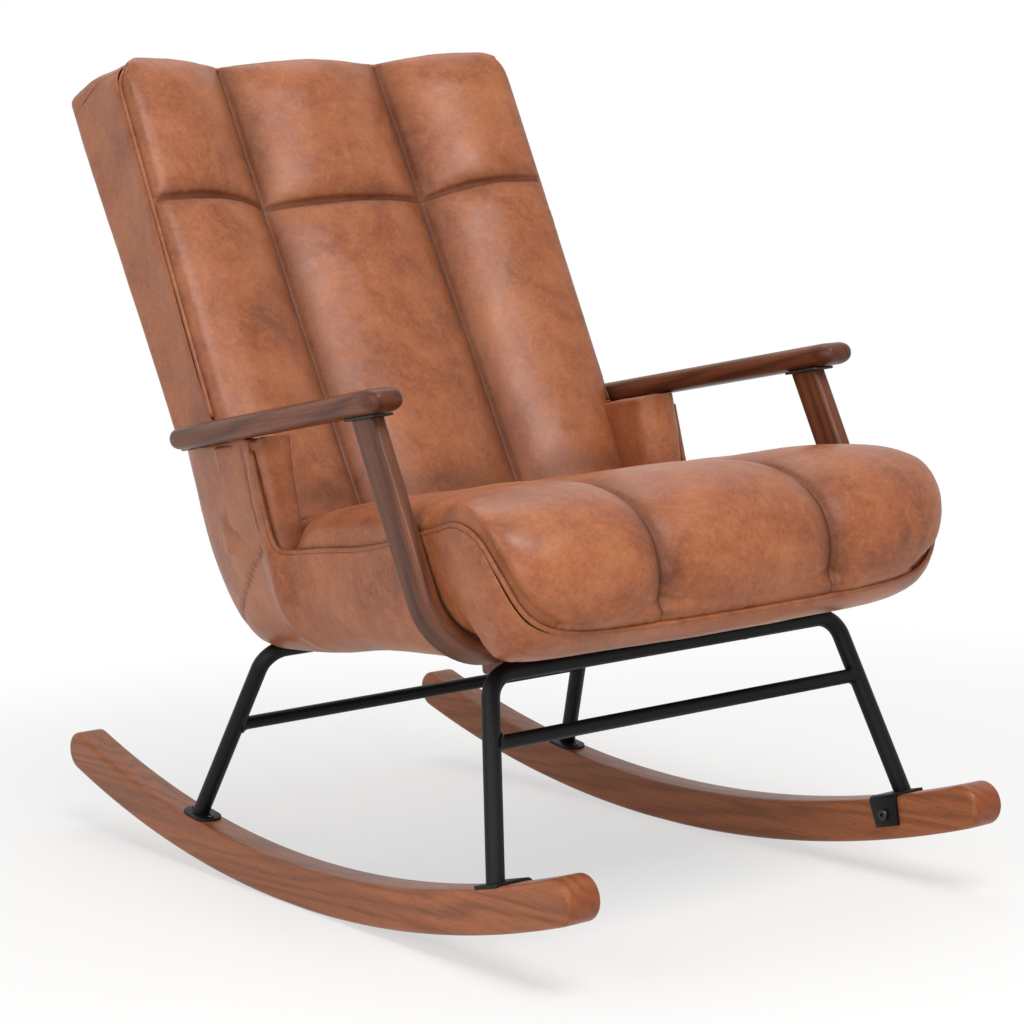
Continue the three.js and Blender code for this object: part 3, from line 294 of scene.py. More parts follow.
def pull_up_leather(name, tones):
    """Full-grain cowhide, aniline dyed and waxed. The wax moves where the hide is pulled,
    which leaves pale clouds and fine pale scratches under a soft sheen. Folds, seams and
    edges are darkened with painted shade from a mesh attribute."""
    dark, middle, light = tones
    m = start_material(name)
    place = add_node(m, "ShaderNodeTexCoord").outputs["Object"]
    crease_shade = add_node(m, "ShaderNodeAttribute", attribute_name="crease_shade").outputs["Fac"]
    cloud = add_node(m, "ShaderNodeTexNoise", {
        "Vector": place, "Scale": 1 / (95 * MM), "Detail": 5.0, "Roughness": 0.62, "Distortion": 0.6})
    patch = add_node(m, "ShaderNodeTexNoise", {
        "Vector": place, "Scale": 1 / (34 * MM), "Detail": 4.0, "Roughness": 0.6, "Distortion": 0.9})
    rub = add_node(m, "ShaderNodeTexNoise", {
        "Vector": place, "Scale": 1 / (13 * MM), "Detail": 6.0, "Roughness": 0.74, "Distortion": 0.5})
    fine = add_node(m, "ShaderNodeTexNoise", {
        "Vector": place, "Scale": 1 / (5 * MM), "Detail": 3.0, "Roughness": 0.6})

    # Fat wrinkles and scratches: the edges of warped cells, broken up by the patches
    warp = add_node(m, "ShaderNodeTexNoise", {
        "Vector": place, "Scale": 1 / (22 * MM), "Detail": 3.0, "Roughness": 0.7})
    bent = add_node(m, "ShaderNodeVectorMath", {0: warp.outputs["Color"], "Scale": 26 * MM},
                    operation="SCALE")
    bent = add_node(m, "ShaderNodeVectorMath", {0: place, 1: bent}, operation="ADD")
    cells = add_node(m, "ShaderNodeTexVoronoi", {"Vector": bent, "Scale": 1 / (17 * MM)},
                     feature="DISTANCE_TO_EDGE")
    edges = add_node(m, "ShaderNodeValToRGB", {"Fac": cells}, [(0.0, 0.5), (0.03, 0.0)])
    broken = add_node(m, "ShaderNodeValToRGB", {"Fac": patch}, [(0.5, 0.0), (0.66, 1.0)])
    vein = add_node(m, "ShaderNodeMath", {0: edges, 1: broken}, operation="MULTIPLY")

    tone = add_node(m, "ShaderNodeValToRGB", {"Fac": cloud}, [(0.12, dark), (0.44, middle), (0.84, light)])
    pale = add_node(m, "ShaderNodeValToRGB", {"Fac": patch}, [(0.4, 0.0), (0.66, 0.26)])
    deep = add_node(m, "ShaderNodeValToRGB", {"Fac": patch}, [(0.3, 0.1), (0.44, 0.0)])
    speckle = add_node(m, "ShaderNodeValToRGB", {"Fac": fine}, [(0.3, dark), (0.7, light)])
    rubbed = add_node(m, "ShaderNodeValToRGB", {"Fac": rub}, [(0.5, 0.0), (0.72, 0.42)])
    # Painted shade: the dark tone is laid over folds, along seams and towards edges, as far as the crease
    # attribute of the mesh reaches.
    folded = add_node(m, "ShaderNodeMath", {0: crease_shade, 1: 0.8}, operation="MULTIPLY")
    tone = layered(m, tone, [(pale, light), (deep, dark), (0.18, speckle), (rubbed, light), (vein, light),
                             (folded, [c * 0.42 for c in dark])])

    # Pebbled grain of 1 to 2 mm, drawn at 2.4 mm so that it shows, over flat pores
    grain = add_node(m, "ShaderNodeTexVoronoi", {"Vector": bent, "Scale": 1 / (2.4 * MM)},
                     feature="SMOOTH_F1")
    pores = add_node(m, "ShaderNodeTexNoise", {"Vector": place, "Scale": 1 / (1.2 * MM), "Detail": 2.0})
    relief = 0.0
    for source, weight in ((grain.outputs["Distance"], 0.4), (pores, 0.3), (fine, 0.9), (vein, -1.0)):
        relief = add_node(m, "ShaderNodeMath", {0: source, 1: weight, 2: relief}, operation="MULTIPLY_ADD")
    bump = add_node(m, "ShaderNodeBump", {"Height": relief, "Strength": 0.32, "Distance": 0.5 * MM})
    wax = add_node(m, "ShaderNodeValToRGB", {"Fac": patch}, [(0.3, 0.33), (0.7, 0.45)])
    rough = add_node(m, "ShaderNodeMath", {0: crease_shade, 1: 0.2, 2: wax}, operation="MULTIPLY_ADD",
                     use_clamp=True)
    return end_material(m, add_node(m, "ShaderNodeBsdfPrincipled", {
        "Base Color": tone, "Roughness": rough, "IOR": 1.5, "Specular IOR Level": 0.3,
        "Normal": bump}))


def lacquered_walnut(name, middle, seed, contrast=1.0):
    """American walnut, planed, sanded and satin lacquered: brown bands with dark growth
    lines along the grain, short dark pores, and a darker, denser look on the end grain. The
    same darker tone is also painted as shade over the front nub of each arm and the runners' round ends."""
    m = start_material(name)
    dark = [c * (1 - 0.62 * contrast) for c in middle]
    light = [min(1, c * (1 + 0.55 * contrast)) for c in middle]
    end_grain_and_shade_tone = [c * s for c, s in zip(dark, (1.2, 0.8, 0.8))]
    grain = add_node(m, "ShaderNodeAttribute", attribute_name="grain").outputs["Vector"]
    ends = add_node(m, "ShaderNodeAttribute", attribute_name="end_grain_and_shade").outputs["Fac"]
    slow = add_node(m, "ShaderNodeMapping", {
        "Vector": grain, "Location": (seed, 0.13, 0.31), "Scale": (1, 1, 0.1)})
    wander = add_node(m, "ShaderNodeTexNoise", {"Vector": slow, "Scale": 1 / (60 * MM), "Detail": 2.0})
    shift = add_node(m, "ShaderNodeVectorMath", {0: wander.outputs["Color"], "Scale": 60 * MM},
                     operation="SCALE")
    figure = add_node(m, "ShaderNodeVectorMath", {0: slow, 1: shift}, operation="ADD")
    # Growth bands about 7 mm apart where the sawn face cuts them flat
    rings = add_node(m, "ShaderNodeTexWave", {
        "Vector": figure, "Scale": 0.314 / (11 * MM), "Distortion": 3.2, "Detail": 3.0,
        "Detail Scale": 1.6, "Detail Roughness": 0.62}, wave_type="BANDS", bands_direction="DIAGONAL")
    drawn_out = add_node(m, "ShaderNodeMapping", {
        "Vector": grain, "Location": (seed, 0, 0), "Scale": (1, 1, 0.035)})
    streaks = add_node(m, "ShaderNodeTexNoise", {
        "Vector": drawn_out, "Scale": 1 / (2.6 * MM), "Detail": 4.0, "Roughness": 0.66})
    clouds = add_node(m, "ShaderNodeTexNoise", {"Vector": slow, "Scale": 1 / (45 * MM), "Detail": 2.0})
    short = add_node(m, "ShaderNodeMapping", {"Vector": grain, "Scale": (1, 1, 0.07)})
    pores = add_node(m, "ShaderNodeTexNoise", {"Vector": short, "Scale": 1 / (0.9 * MM), "Detail": 1.0})

    tone = add_node(m, "ShaderNodeValToRGB", {"Fac": rings}, [(0.05, dark), (0.35, middle), (0.9, light)])
    lines = add_node(m, "ShaderNodeValToRGB", {"Fac": streaks},
                     [(0.3, dark), (0.52, middle), (0.72, light)])
    shade = add_node(m, "ShaderNodeValToRGB", {"Fac": clouds}, [(0.35, 0.4), (0.6, 0.0)])
    pore = add_node(m, "ShaderNodeValToRGB", {"Fac": pores}, [(0.62, 0.0), (0.7, 1.0)])
    pore_share = add_node(m, "ShaderNodeMath", {0: pore, 1: 0.5}, operation="MULTIPLY")
    # The darker end-grain tone is laid on end faces, and as painted shade on the arms' front nubs and the
    # runners' round ends.
    end_grain_and_shade_share = add_node(m, "ShaderNodeMath", {0: ends, 1: 0.5}, operation="MULTIPLY")
    tone = layered(m, tone, [(0.55, lines), (shade, dark), (pore_share, [c * 0.5 for c in dark]),
                             (end_grain_and_shade_share, end_grain_and_shade_tone)])

    raised = add_node(m, "ShaderNodeMath", {0: streaks, 1: 0.35}, operation="MULTIPLY")
    height = add_node(m, "ShaderNodeMath", {0: raised, 1: pore}, operation="SUBTRACT")
    bump = add_node(m, "ShaderNodeBump", {"Height": height, "Strength": 0.22, "Distance": 0.25 * MM})
    rough = add_node(m, "ShaderNodeValToRGB", {"Fac": streaks}, [(0.3, 0.42), (0.7, 0.34)])
    return end_material(m, add_node(m, "ShaderNodeBsdfPrincipled", {
        "Base Color": tone, "Roughness": rough, "IOR": 1.48, "Specular IOR Level": 0.26,
        "Normal": bump}))


def powder_coat(name, colour):
    """Polyester powder coat baked on steel: even satin black with a faint orange peel."""
    m = start_material(name)
    place = add_node(m, "ShaderNodeTexCoord").outputs["Object"]
    peel = add_node(m, "ShaderNodeTexNoise", {"Vector": place, "Scale": 1 / (1.8 * MM), "Detail": 2.0})
    dust = add_node(m, "ShaderNodeTexNoise", {"Vector": place, "Scale": 1 / (30 * MM), "Detail": 3.0})
    dusty = add_node(m, "ShaderNodeValToRGB", {"Fac": dust}, [(0.4, 0.0), (0.75, 0.35)])
    tone = layered(m, colour, [(dusty, [c * 1.7 for c in colour])])
    rough = add_node(m, "ShaderNodeValToRGB", {"Fac": dust}, [(0.3, 0.44), (0.7, 0.52)])
    bump = add_node(m, "ShaderNodeBump", {"Height": peel, "Strength": 0.18, "Distance": 0.2 * MM})
    return end_material(m, add_node(m, "ShaderNodeBsdfPrincipled", {
        "Base Color": tone, "Roughness": rough, "IOR": 1.5, "Specular IOR Level": 0.18,
        "Normal": bump}))


def blackened_steel(name):
    """Black-oxide socket screws: dark metal with fine turning marks."""
    m = start_material(name)
    place = add_node(m, "ShaderNodeTexCoord").outputs["Object"]
    marks = add_node(m, "ShaderNodeTexNoise", {"Vector": place, "Scale": 1 / (0.8 * MM), "Detail": 3.0})
    tone = add_node(m, "ShaderNodeValToRGB", {"Fac": marks},
                    [(0.35, linear("2a2a2b")), (0.7, linear("55544f"))])
    rough = add_node(m, "ShaderNodeValToRGB", {"Fac": marks}, [(0.3, 0.3), (0.7, 0.45)])
    bump = add_node(m, "ShaderNodeBump", {"Height": marks, "Strength": 0.15, "Distance": 0.1 * MM})
    return end_material(m, add_node(m, "ShaderNodeBsdfPrincipled", {
        "Base Color": tone, "Metallic": 1.0, "Roughness": rough, "Normal": bump}))


def sawn_beech(name):
    """Kiln-dried beech straight off the saw: pale pink-brown with short flecks and no finish."""
    m = start_material(name)
    place = add_node(m, "ShaderNodeTexCoord").outputs["Object"]
    along = add_node(m, "ShaderNodeMapping", {"Vector": place, "Scale": (0.08, 1, 1)})
    fibre = add_node(m, "ShaderNodeTexNoise", {"Vector": along, "Scale": 1 / (3 * MM), "Detail": 4.0})
    short = add_node(m, "ShaderNodeMapping", {"Vector": place, "Scale": (0.3, 1, 1)})
    flecks = add_node(m, "ShaderNodeTexNoise", {"Vector": short, "Scale": 1 / (1.6 * MM)})
    fleck = add_node(m, "ShaderNodeValToRGB", {"Fac": flecks}, [(0.62, 0.0), (0.72, 0.5)])
    tone = add_node(m, "ShaderNodeValToRGB", {"Fac": fibre},
                    [(0.3, linear("b08c5e")), (0.7, linear("d2b384"))])
    tone = layered(m, tone, [(fleck, linear("8c6a44"))])
    bump = add_node(m, "ShaderNodeBump", {"Height": fibre, "Strength": 0.5, "Distance": 0.6 * MM})
    return end_material(m, add_node(m, "ShaderNodeBsdfPrincipled", {
        "Base Color": tone, "Roughness": 0.78, "Normal": bump}))


def elastic_webbing(name):
    """Woven rubber-core webbing: 3 mm ribs across the strap in dark brown yarn."""
    m = start_material(name)
    place = add_node(m, "ShaderNodeTexCoord").outputs["Object"]
    ribs = add_node(m, "ShaderNodeTexWave", {"Vector": place, "Scale": 0.314 / (3 * MM)},
                    bands_direction="X")
    yarn = add_node(m, "ShaderNodeTexNoise", {"Vector": place, "Scale": 1 / (0.7 * MM), "Detail": 2.0})
    rib_tone = add_node(m, "ShaderNodeValToRGB", {"Fac": ribs},
                        [(0.1, linear("211e1b")), (0.8, linear("4a443c"))])
    yarn_tone = add_node(m, "ShaderNodeValToRGB", {"Fac": yarn},
                         [(0.3, linear("24211d")), (0.7, linear("57504a"))])
    relief = add_node(m, "ShaderNodeMath", {0: yarn, 1: 0.4, 2: ribs}, operation="MULTIPLY_ADD")
    bump = add_node(m, "ShaderNodeBump", {"Height": relief, "Strength": 0.6, "Distance": 0.6 * MM})
    return end_material(m, add_node(m, "ShaderNodeBsdfPrincipled", {
        "Base Color": layered(m, rib_tone, [(0.5, yarn_tone)]), "Roughness": 0.92,
        "Sheen Weight": 0.2, "Normal": bump}))


def cover_felt(name):
    """Spun-bonded cover cloth: thin black felt with a 2.5 mm point-bond grid."""
    m = start_material(name)
    place = add_node(m, "ShaderNodeTexCoord").outputs["Object"]
    bonds = add_node(m, "ShaderNodeTexVoronoi", {
        "Vector": place, "Scale": 1 / (2.5 * MM), "Randomness": 0.0}).outputs["Distance"]
    lint = add_node(m, "ShaderNodeTexNoise", {
        "Vector": place, "Scale": 1 / (9 * MM), "Detail": 6.0, "Roughness": 0.75})
    tone = layered(m, linear("0e0e0f"), [(lint, linear("242423"))])
    bump = add_node(m, "ShaderNodeBump", {"Height": bonds, "Strength": 0.5, "Distance": 0.3 * MM})
    return end_material(m, add_node(m, "ShaderNodeBsdfPrincipled", {
        "Base Color": tone, "Roughness": 0.96, "Sheen Weight": 0.1, "Normal": bump}))


def moulded_nylon(name):
    """Injection-moulded black nylon with a fine spark-eroded texture."""
    m = start_material(name)
    place = add_node(m, "ShaderNodeTexCoord").outputs["Object"]
    texture = add_node(m, "ShaderNodeTexNoise", {"Vector": place, "Scale": 1 / (0.9 * MM), "Detail": 2.0})
    tone = add_node(m, "ShaderNodeValToRGB", {"Fac": texture},
                    [(0.3, linear("0f0f10")), (0.7, linear("1b1b1c"))])
    bump = add_node(m, "ShaderNodeBump", {"Height": texture, "Strength": 0.3, "Distance": 0.15 * MM})
    return end_material(m, add_node(m, "ShaderNodeBsdfPrincipled", {
        "Base Color": tone, "Roughness": 0.52, "Normal": bump}))


FINISHES = {}


def finish(slot):
    """The material of a record slot, made once."""
    if slot not in FINISHES:
        colours = bpy.context.scene.chair_colours
        tones = [tuple(c) for c in (colours.leather_dark, colours.leather, colours.leather_light)]
        welt_tones = [[c * 0.86 for c in tone] for tone in tones]
        walnut, runner, steel = [tuple(c) for c in (colours.walnut, colours.runner, colours.steel)]
        makers = {
            "leather": lambda: pull_up_leather("Pull-up leather", tones),
            "welt_leather": lambda: pull_up_leather("Welt leather", welt_tones),
            "walnut": lambda: lacquered_walnut("Lacquered walnut", walnut, 0.2),
            "runner_walnut": lambda: lacquered_walnut("Lacquered runner walnut", runner, 0.7, 0.62),
            "black_steel": lambda: powder_coat("Powder coated steel", steel),
            "dark_steel": lambda: blackened_steel("Black oxide steel"),
            "frame_wood": lambda: sawn_beech("Sawn beech"),
            "webbing": lambda: elastic_webbing("Elastic webbing"),
            "cover_cloth": lambda: cover_felt("Cover felt"),
            "black_plastic": lambda: moulded_nylon("Moulded nylon"),
        }
        FINISHES[slot] = makers[slot]()
    return FINISHES[slot]


# Meshes

def new_object(name, data):
    """An object in the scene that shows some data."""
    made = bpy.data.objects.new(name, data)
    bpy.context.scene.collection.objects.link(made)
    return made


def smooth_mesh(name, bm):
    """A mesh made from a bmesh, shaded smooth."""
    mesh = bpy.data.meshes.new(name)
    bm.to_mesh(mesh)
    bm.free()
    mesh.shade_smooth()
    return mesh


def finished(name, bm, slot, nodes, sharp=None):
    """Turns a bmesh into a piece of the chair that stands for its CAD nodes."""
    mesh = smooth_mesh(name, bm)
    if sharp is not None:
        mesh.set_sharp_from_angle(angle=math.radians(sharp))
    mesh.materials.append(finish(slot))
    piece = new_object(name, mesh)
    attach(piece, "root")
    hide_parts(*nodes)
    return piece


def side_name(side):
    return "left" if side > 0 else "right"


def mirrored(points):
    """The same points on the other side of the chair, in the opposite order."""
    return [Vector((-p.x, p.y, p.z)) for p in reversed(points)]


def sampled(line, count):
    """Points of a line from its start to its end, a number of equal steps apart."""
    return [line(i / count) for i in range(count + 1)]


def finder(points):
    """A tree that finds the nearest of some points."""
    tree = KDTree(len(points))
    for i, point in enumerate(points):
        tree.insert(point, i)
    tree.balance()
    return tree


def block(cells, place, open_end=False):
    """A block of grid cells, which may be open at its last side. A function places its shares,
    -1 to 1 along each side."""
    bm = bmesh.new()
    bmesh.ops.create_cube(bm, size=2)
    for axis, count in enumerate(cells):
        across = [e for e in bm.edges if abs(e.verts[0].co[axis] - e.verts[1].co[axis]) > 1]
        if count > 1:
            bmesh.ops.subdivide_edges(bm, edges=across, cuts=count - 1, use_grid_fill=True)
    if open_end:
        lid = [f for f in bm.faces if all(v.co.z > 0.99 for v in f.verts)]
        bmesh.ops.delete(bm, geom=lid, context="FACES")
    cell = bm.verts.layers.float_vector.new("cell")
    for vertex in bm.verts:
        vertex[cell] = vertex.co
        vertex.co = place(*vertex.co)
    bmesh.ops.recalc_face_normals(bm, faces=bm.faces)
    return bm


def crowded(share, amount=1.0):
    """Moves evenly spaced shares towards the ends."""
    return (1 - amount) * share + amount * math.sin(share * math.pi / 2)


def rounded_place(place, half, radius):
    """Pulls a place on a box onto the same box with rounded edges."""
    core = [min(max(p, r - h), h - r) for p, h, r in zip(place, half, radius)]
    past = [(p - c) / r for p, c, r in zip(place, core, radius)]
    length = math.hypot(*past)
    if length == 0:
        return place
    reach = max(abs(p) for p in past) / length
    return [c + p * reach * r for c, p, r in zip(core, past, radius)]


def through(points):
    """A function of 0 to 1 that runs smoothly through evenly numbered points."""
    last = len(points) - 1
    gaps = [max((b - a).length, 1e-9) for a, b in zip(points, points[1:])]
    slopes = []
    for i in range(last + 1):
        low, high = max(i - 1, 0), min(i + 1, last)
        slopes.append((points[high] - points[low]) / sum(gaps[low:high]))

    def at(share):
        place = min(max(share, 0), 1) * last
        i = min(int(place), last - 1)
        t = place - i
        a, b = points[i], points[i + 1]
        return (a * (2 * t ** 3 - 3 * t ** 2 + 1) + slopes[i] * gaps[i] * (t ** 3 - 2 * t ** 2 + t)
                + b * (3 * t ** 2 - 2 * t ** 3) + slopes[i + 1] * gaps[i] * (t ** 3 - t ** 2))
    return at


def ring(bm, points):
    """A closed ring of edges through points in the plane z = 0."""
    verts = [bm.verts.new((x, y, 0)) for x, y in points]
    edges = [bm.edges.new((a, b)) for a, b in zip(verts, verts[1:] + verts[:1])]
    return verts, edges


def circle_points(radius, count):
    return [(radius * math.cos(2 * math.pi * i / count), radius * math.sin(2 * math.pi * i / count))
            for i in range(count)]


def rectangle_points(width, height, corner, steps):
    """Points of a rectangle with round corners."""
    points = []
    for quarter, (x, y) in enumerate(((1, 1), (-1, 1), (-1, -1), (1, -1))):
        for i in range(steps + 1):
            angle = math.pi / 2 * (quarter + i / steps)
            points.append((x * (width / 2 - corner) + corner * math.cos(angle),
                           y * (height / 2 - corner) + corner * math.sin(angle)))
    return points


def turned_to(heading, side):
    """A turn that takes Z to the heading and X close to the side."""
    z = heading.normalized()
    y = z.cross(side).normalized()
    return Matrix((y.cross(z), y, z)).transposed().to_4x4()


def vertices(geom):
    """The vertices in what an operator gave back."""
    return [g for g in geom if isinstance(g, bmesh.types.BMVert)]


def extruded(bm, edges):
    """Extrudes a row of edges in place, and gives back the new vertices and the new row."""
    made = bmesh.ops.extrude_edge_only(bm, edges=edges)["geom"]
    fresh = vertices(made)
    kept = set(fresh)
    return fresh, [g for g in made if isinstance(g, bmesh.types.BMEdge) and kept.issuperset(g.verts)]


def rounded(bm, edges, offset, segments):
    """Rounds edges over by an offset."""
    bmesh.ops.bevel(bm, geom=edges, offset=offset, offset_type="OFFSET", affect="EDGES",
                    segments=segments, profile=0.5, material=-1)


def plate(bm, outline, thickness, rim, segments):
    """Fills a closed outline, gives it a thickness and rounds its rims over."""
    face = bmesh.ops.contextual_create(bm, geom=outline)["faces"]
    made = bmesh.ops.extrude_face_region(bm, geom=face)["geom"]
    bmesh.ops.translate(bm, verts=vertices(made), vec=thickness)
    bmesh.ops.recalc_face_normals(bm, faces=bm.faces)
    rounded(bm, [e for e in bm.edges if any(len(f.verts) > 4 for f in e.link_faces)], rim, segments)


def capped(bm, cut):
    """Closes the hole that a cut left."""
    rim = [g for g in cut["geom_cut"] if isinstance(g, bmesh.types.BMEdge)]
    bmesh.ops.contextual_create(bm, geom=rim)


def sweep(bm, edges, corners, bend, steps):
    """Extrudes a ring along straight runs between corners, with a round bend at each corner."""
    grain = bm.verts.layers.float_vector.get("grain")

    def tag(fresh, length):
        if grain:
            for v in fresh:
                v[grain] = v[grain] + Vector((0, 0, length))

    def run(row, move):
        fresh, row = extruded(bm, row)
        bmesh.ops.translate(bm, verts=fresh, vec=move)
        tag(fresh, move.length)
        return row

    here = corners[0]
    for before, corner, after in zip(corners, corners[1:], corners[2:]):
        arrive = (corner - before).normalized()
        leave = (after - corner).normalized()
        angle = arrive.angle(leave)
        axis = arrive.cross(leave).normalized()
        setback = bend * math.tan(angle / 2)
        start = corner - arrive * setback
        edges = run(edges, start - here)
        centre = start + axis.cross(arrive) * bend
        turn = Matrix.Rotation(angle / steps, 3, axis)
        for _ in range(steps):
            fresh, edges = extruded(bm, edges)
            bmesh.ops.rotate(bm, verts=fresh, cent=centre, matrix=turn)
            tag(fresh, bend * angle / steps)
        here = corner + leave * setback
    return run(edges, corners[-1] - here)


def cord_mesh(name, points, radius, sides):
    """A round cord through points, with closed ends, as a mesh."""
    curve = bpy.data.curves.new(name, "CURVE")
    curve.dimensions = "3D"
    curve.bevel_depth = radius
    curve.bevel_resolution = sides // 2 - 2
    curve.use_fill_caps = True
    spline = curve.splines.new("POLY")
    spline.points.add(len(points) - 1)
    for target, point in zip(spline.points, points):
        target.co = (*point, 1)
    holder = new_object(name, curve)
    mesh = bpy.data.meshes.new_from_object(holder.evaluated_get(bpy.context.evaluated_depsgraph_get()))
    bpy.data.objects.remove(holder)
    bpy.data.curves.remove(curve)
    return mesh


def cord_piece(name, lines, radius, nodes, sides):
    """One piece made of round cords in the leather of the welts."""
    bm = bmesh.new()
    for points in lines:
        mesh = cord_mesh(name, points, radius, sides)
        bm.from_mesh(mesh)
        bpy.data.meshes.remove(mesh)
    bmesh.ops.remove_doubles(bm, verts=bm.verts, dist=MM / 100)
    bmesh.ops.recalc_face_normals(bm, faces=bm.faces)
    finished(name, bm, "welt_leather", nodes)


def subdivided(piece):
    """Applies one level of subdivision to a piece."""
    modifier = piece.modifiers.new("Smooth cover", "SUBSURF")
    modifier.levels = modifier.render_levels = 1
    evaluated = piece.evaluated_get(bpy.context.evaluated_depsgraph_get())
    mesh = bpy.data.meshes.new_from_object(evaluated)
    piece.modifiers.clear()
    old = piece.data
    piece.data = mesh
    name = old.name
    bpy.data.meshes.remove(old)
    mesh.name = name


CLOTH_FRAMES = 20


def inflate(piece, held, most):
    """Fills a sewn cover with air against its held vertices, and caps how far it moves."""
    start = [v.co.copy() for v in piece.data.vertices]
    group = piece.vertex_groups.new(name="sewn")
    group.add(held, 1.0, "REPLACE")
    cloth = piece.modifiers.new("Filling", "CLOTH")
    settings = cloth.settings
    settings.vertex_group_mass = group.name
    settings.use_pressure = True
    settings.uniform_pressure_force = 4
    settings.mass = 0.6
    settings.tension_stiffness = settings.compression_stiffness = 40
    settings.shear_stiffness = 20
    settings.bending_stiffness = 6
    settings.effector_weights.gravity = 0
    cloth.collision_settings.use_collision = False
    scene = bpy.context.scene
    for number in range(1, CLOTH_FRAMES + 1):
        scene.frame_set(number)
    evaluated = piece.evaluated_get(bpy.context.evaluated_depsgraph_get())
    moved = [v.co.copy() for v in evaluated.data.vertices]
    piece.modifiers.remove(cloth)
    piece.vertex_groups.remove(group)
    scene.frame_set(1)
    for vertex, old, new in zip(piece.data.vertices, start, moved):
        step = new - old
        if step.length > most:
            step.length = most
        vertex.co = old + step


def detail(piece, shape):
    """Moves each vertex along its normal, and marks where shade is painted in creases and beside
    seams, as a function of its place says.
    """
    mesh = piece.data
    normals = [v.normal.copy() for v in mesh.vertices]
    cell = mesh.attributes.get("cell")
    cells = [Vector(c.vector) for c in cell.data] if cell else [None] * len(normals)
    values = []
    for vertex, normal, spot in zip(mesh.vertices, normals, cells):
        shift, crease_shade = shape(vertex.co, normal, spot)
        vertex.co = vertex.co + normal * shift
        values.append(min(max(crease_shade, 0), 1))
    if cell:
        mesh.attributes.remove(cell)
    # This attribute holds the painted shade that the leather lays over creases, seams and edges.
    mesh.attributes.new("crease_shade", "FLOAT", "POINT").data.foreach_set("value", values)
    mesh.update()


def near(distance, width):
    """One on a line, falling away over a width on both sides."""
    return math.exp(-(distance / width) ** 2)


def ease(value, low, high):
    """A smooth step from 0 at low to 1 at high."""
    share = min(max((value - low) / (high - low), 0), 1)
    return share * share * (3 - 2 * share)


def lerp(a, b, share):
    return a + (b - a) * share


def roll(share, start):
    """Rolls a surface off towards an edge: 0 at the start share, 1 at the edge."""
    past = min(1, max(0, share - start) / (1 - start))
    return 1 - math.sqrt(max(0, 1 - past * past))


def cushioned(co, large=1.1 * MM, small=0.3 * MM):
    """Soft unevenness of foam under hide."""
    return large * noise.noise(co / (85 * MM)) + small * noise.noise(co / (21 * MM))


# Runners

def runner_top(y):
    return ARC_CENTRE_Z - math.sqrt(RUNNER_TOP_RADIUS ** 2 - y ** 2)


def on_runner(y, side):
    """The turn and place of a foot on top of a runner."""
    slope = math.asin(y / RUNNER_TOP_RADIUS)
    place = Vector((side * RUNNER_X, y, runner_top(y) - FOOT_PLATE_INSET))
    return Matrix.Translation(place) @ Matrix.Rotation(slope, 4, "X")


def make_runner(side):
    """An arc of solid walnut with round ends: one outline, extruded across and rounded over."""
    name = side_name(side)
    bm = bmesh.new()
    middle = RUNNER_RADIUS - RUNNER_DEPTH / 2
    end_angle = math.asin((RUNNER_SPAN - RUNNER_DEPTH) / 2 / middle)
    flat_angle = math.asin(CONTACT_FLAT / 2 / RUNNER_RADIUS)
    centre = Vector((0, 0, ARC_CENTRE_Z))

    def arc(pivot, start, angle, steps):
        vert = bm.verts.new(start)
        bmesh.ops.spin(bm, geom=[vert], cent=pivot, axis=LEFT, angle=angle, steps=steps)

    def polar(radius, angle):
        return centre + Vector((0, radius * math.sin(angle), -radius * math.cos(angle)))

    for end in (-1, 1):
        arc(centre, polar(RUNNER_RADIUS, end * flat_angle), end * (end_angle - flat_angle), 44)
        arc(polar(middle, end * end_angle), polar(RUNNER_RADIUS, end * end_angle), end * math.pi, 14)
    arc(centre, polar(RUNNER_TOP_RADIUS, -end_angle), 2 * end_angle, 90)
    bmesh.ops.remove_doubles(bm, verts=bm.verts, dist=MM / 20)
    loose = [v for v in bm.verts if len(v.link_edges) == 1]
    bm.edges.new(loose)
    bmesh.ops.translate(bm, verts=bm.verts, vec=LEFT * (side * RUNNER_X - RUNNER_WIDTH / 2))
    plate(bm, bm.edges[:], LEFT * RUNNER_WIDTH, RUNNER_ROUND, 4)
    cheeks = [f for f in bm.faces if len(f.verts) > 4]
    bmesh.ops.inset_individual(bm, faces=cheeks, thickness=MM)
    grain = bm.verts.layers.float_vector.new("grain")
    ends = bm.verts.layers.float.new("end_grain_and_shade")
    bm.normal_update()
    for v in bm.verts:
        v[grain] = (v.co.x - side * RUNNER_X, v.co.z, v.co.y + 0.7 * side)
        # The round ends, where the grain ends, get the darker end-grain tone, which there also stands as
        # painted shade.
        v[ends] = ease(abs(v.normal.y), 0.45, 0.95)
    finished(f"runner_{name}_wood", bm, "runner_walnut", [f"runner_{name}"], sharp=50)


# Hoops

def foot_height(y):
    """Height of the foot of a leg, on its plate."""
    return runner_top(y) - FOOT_PLATE_INSET + FOOT_PLATE + 2 * CLEARANCE


def hoop_corners(foot_x, foot_y, bar):
    """Feet and corners of a hoop's middle line, from the right foot to the left one."""
    foot_z = foot_height(foot_y)
    right = [Vector((-foot_x, foot_y, foot_z)), Vector((-HOOP_CORNER_X, bar.y, bar.z))]
    return right + mirrored(right)


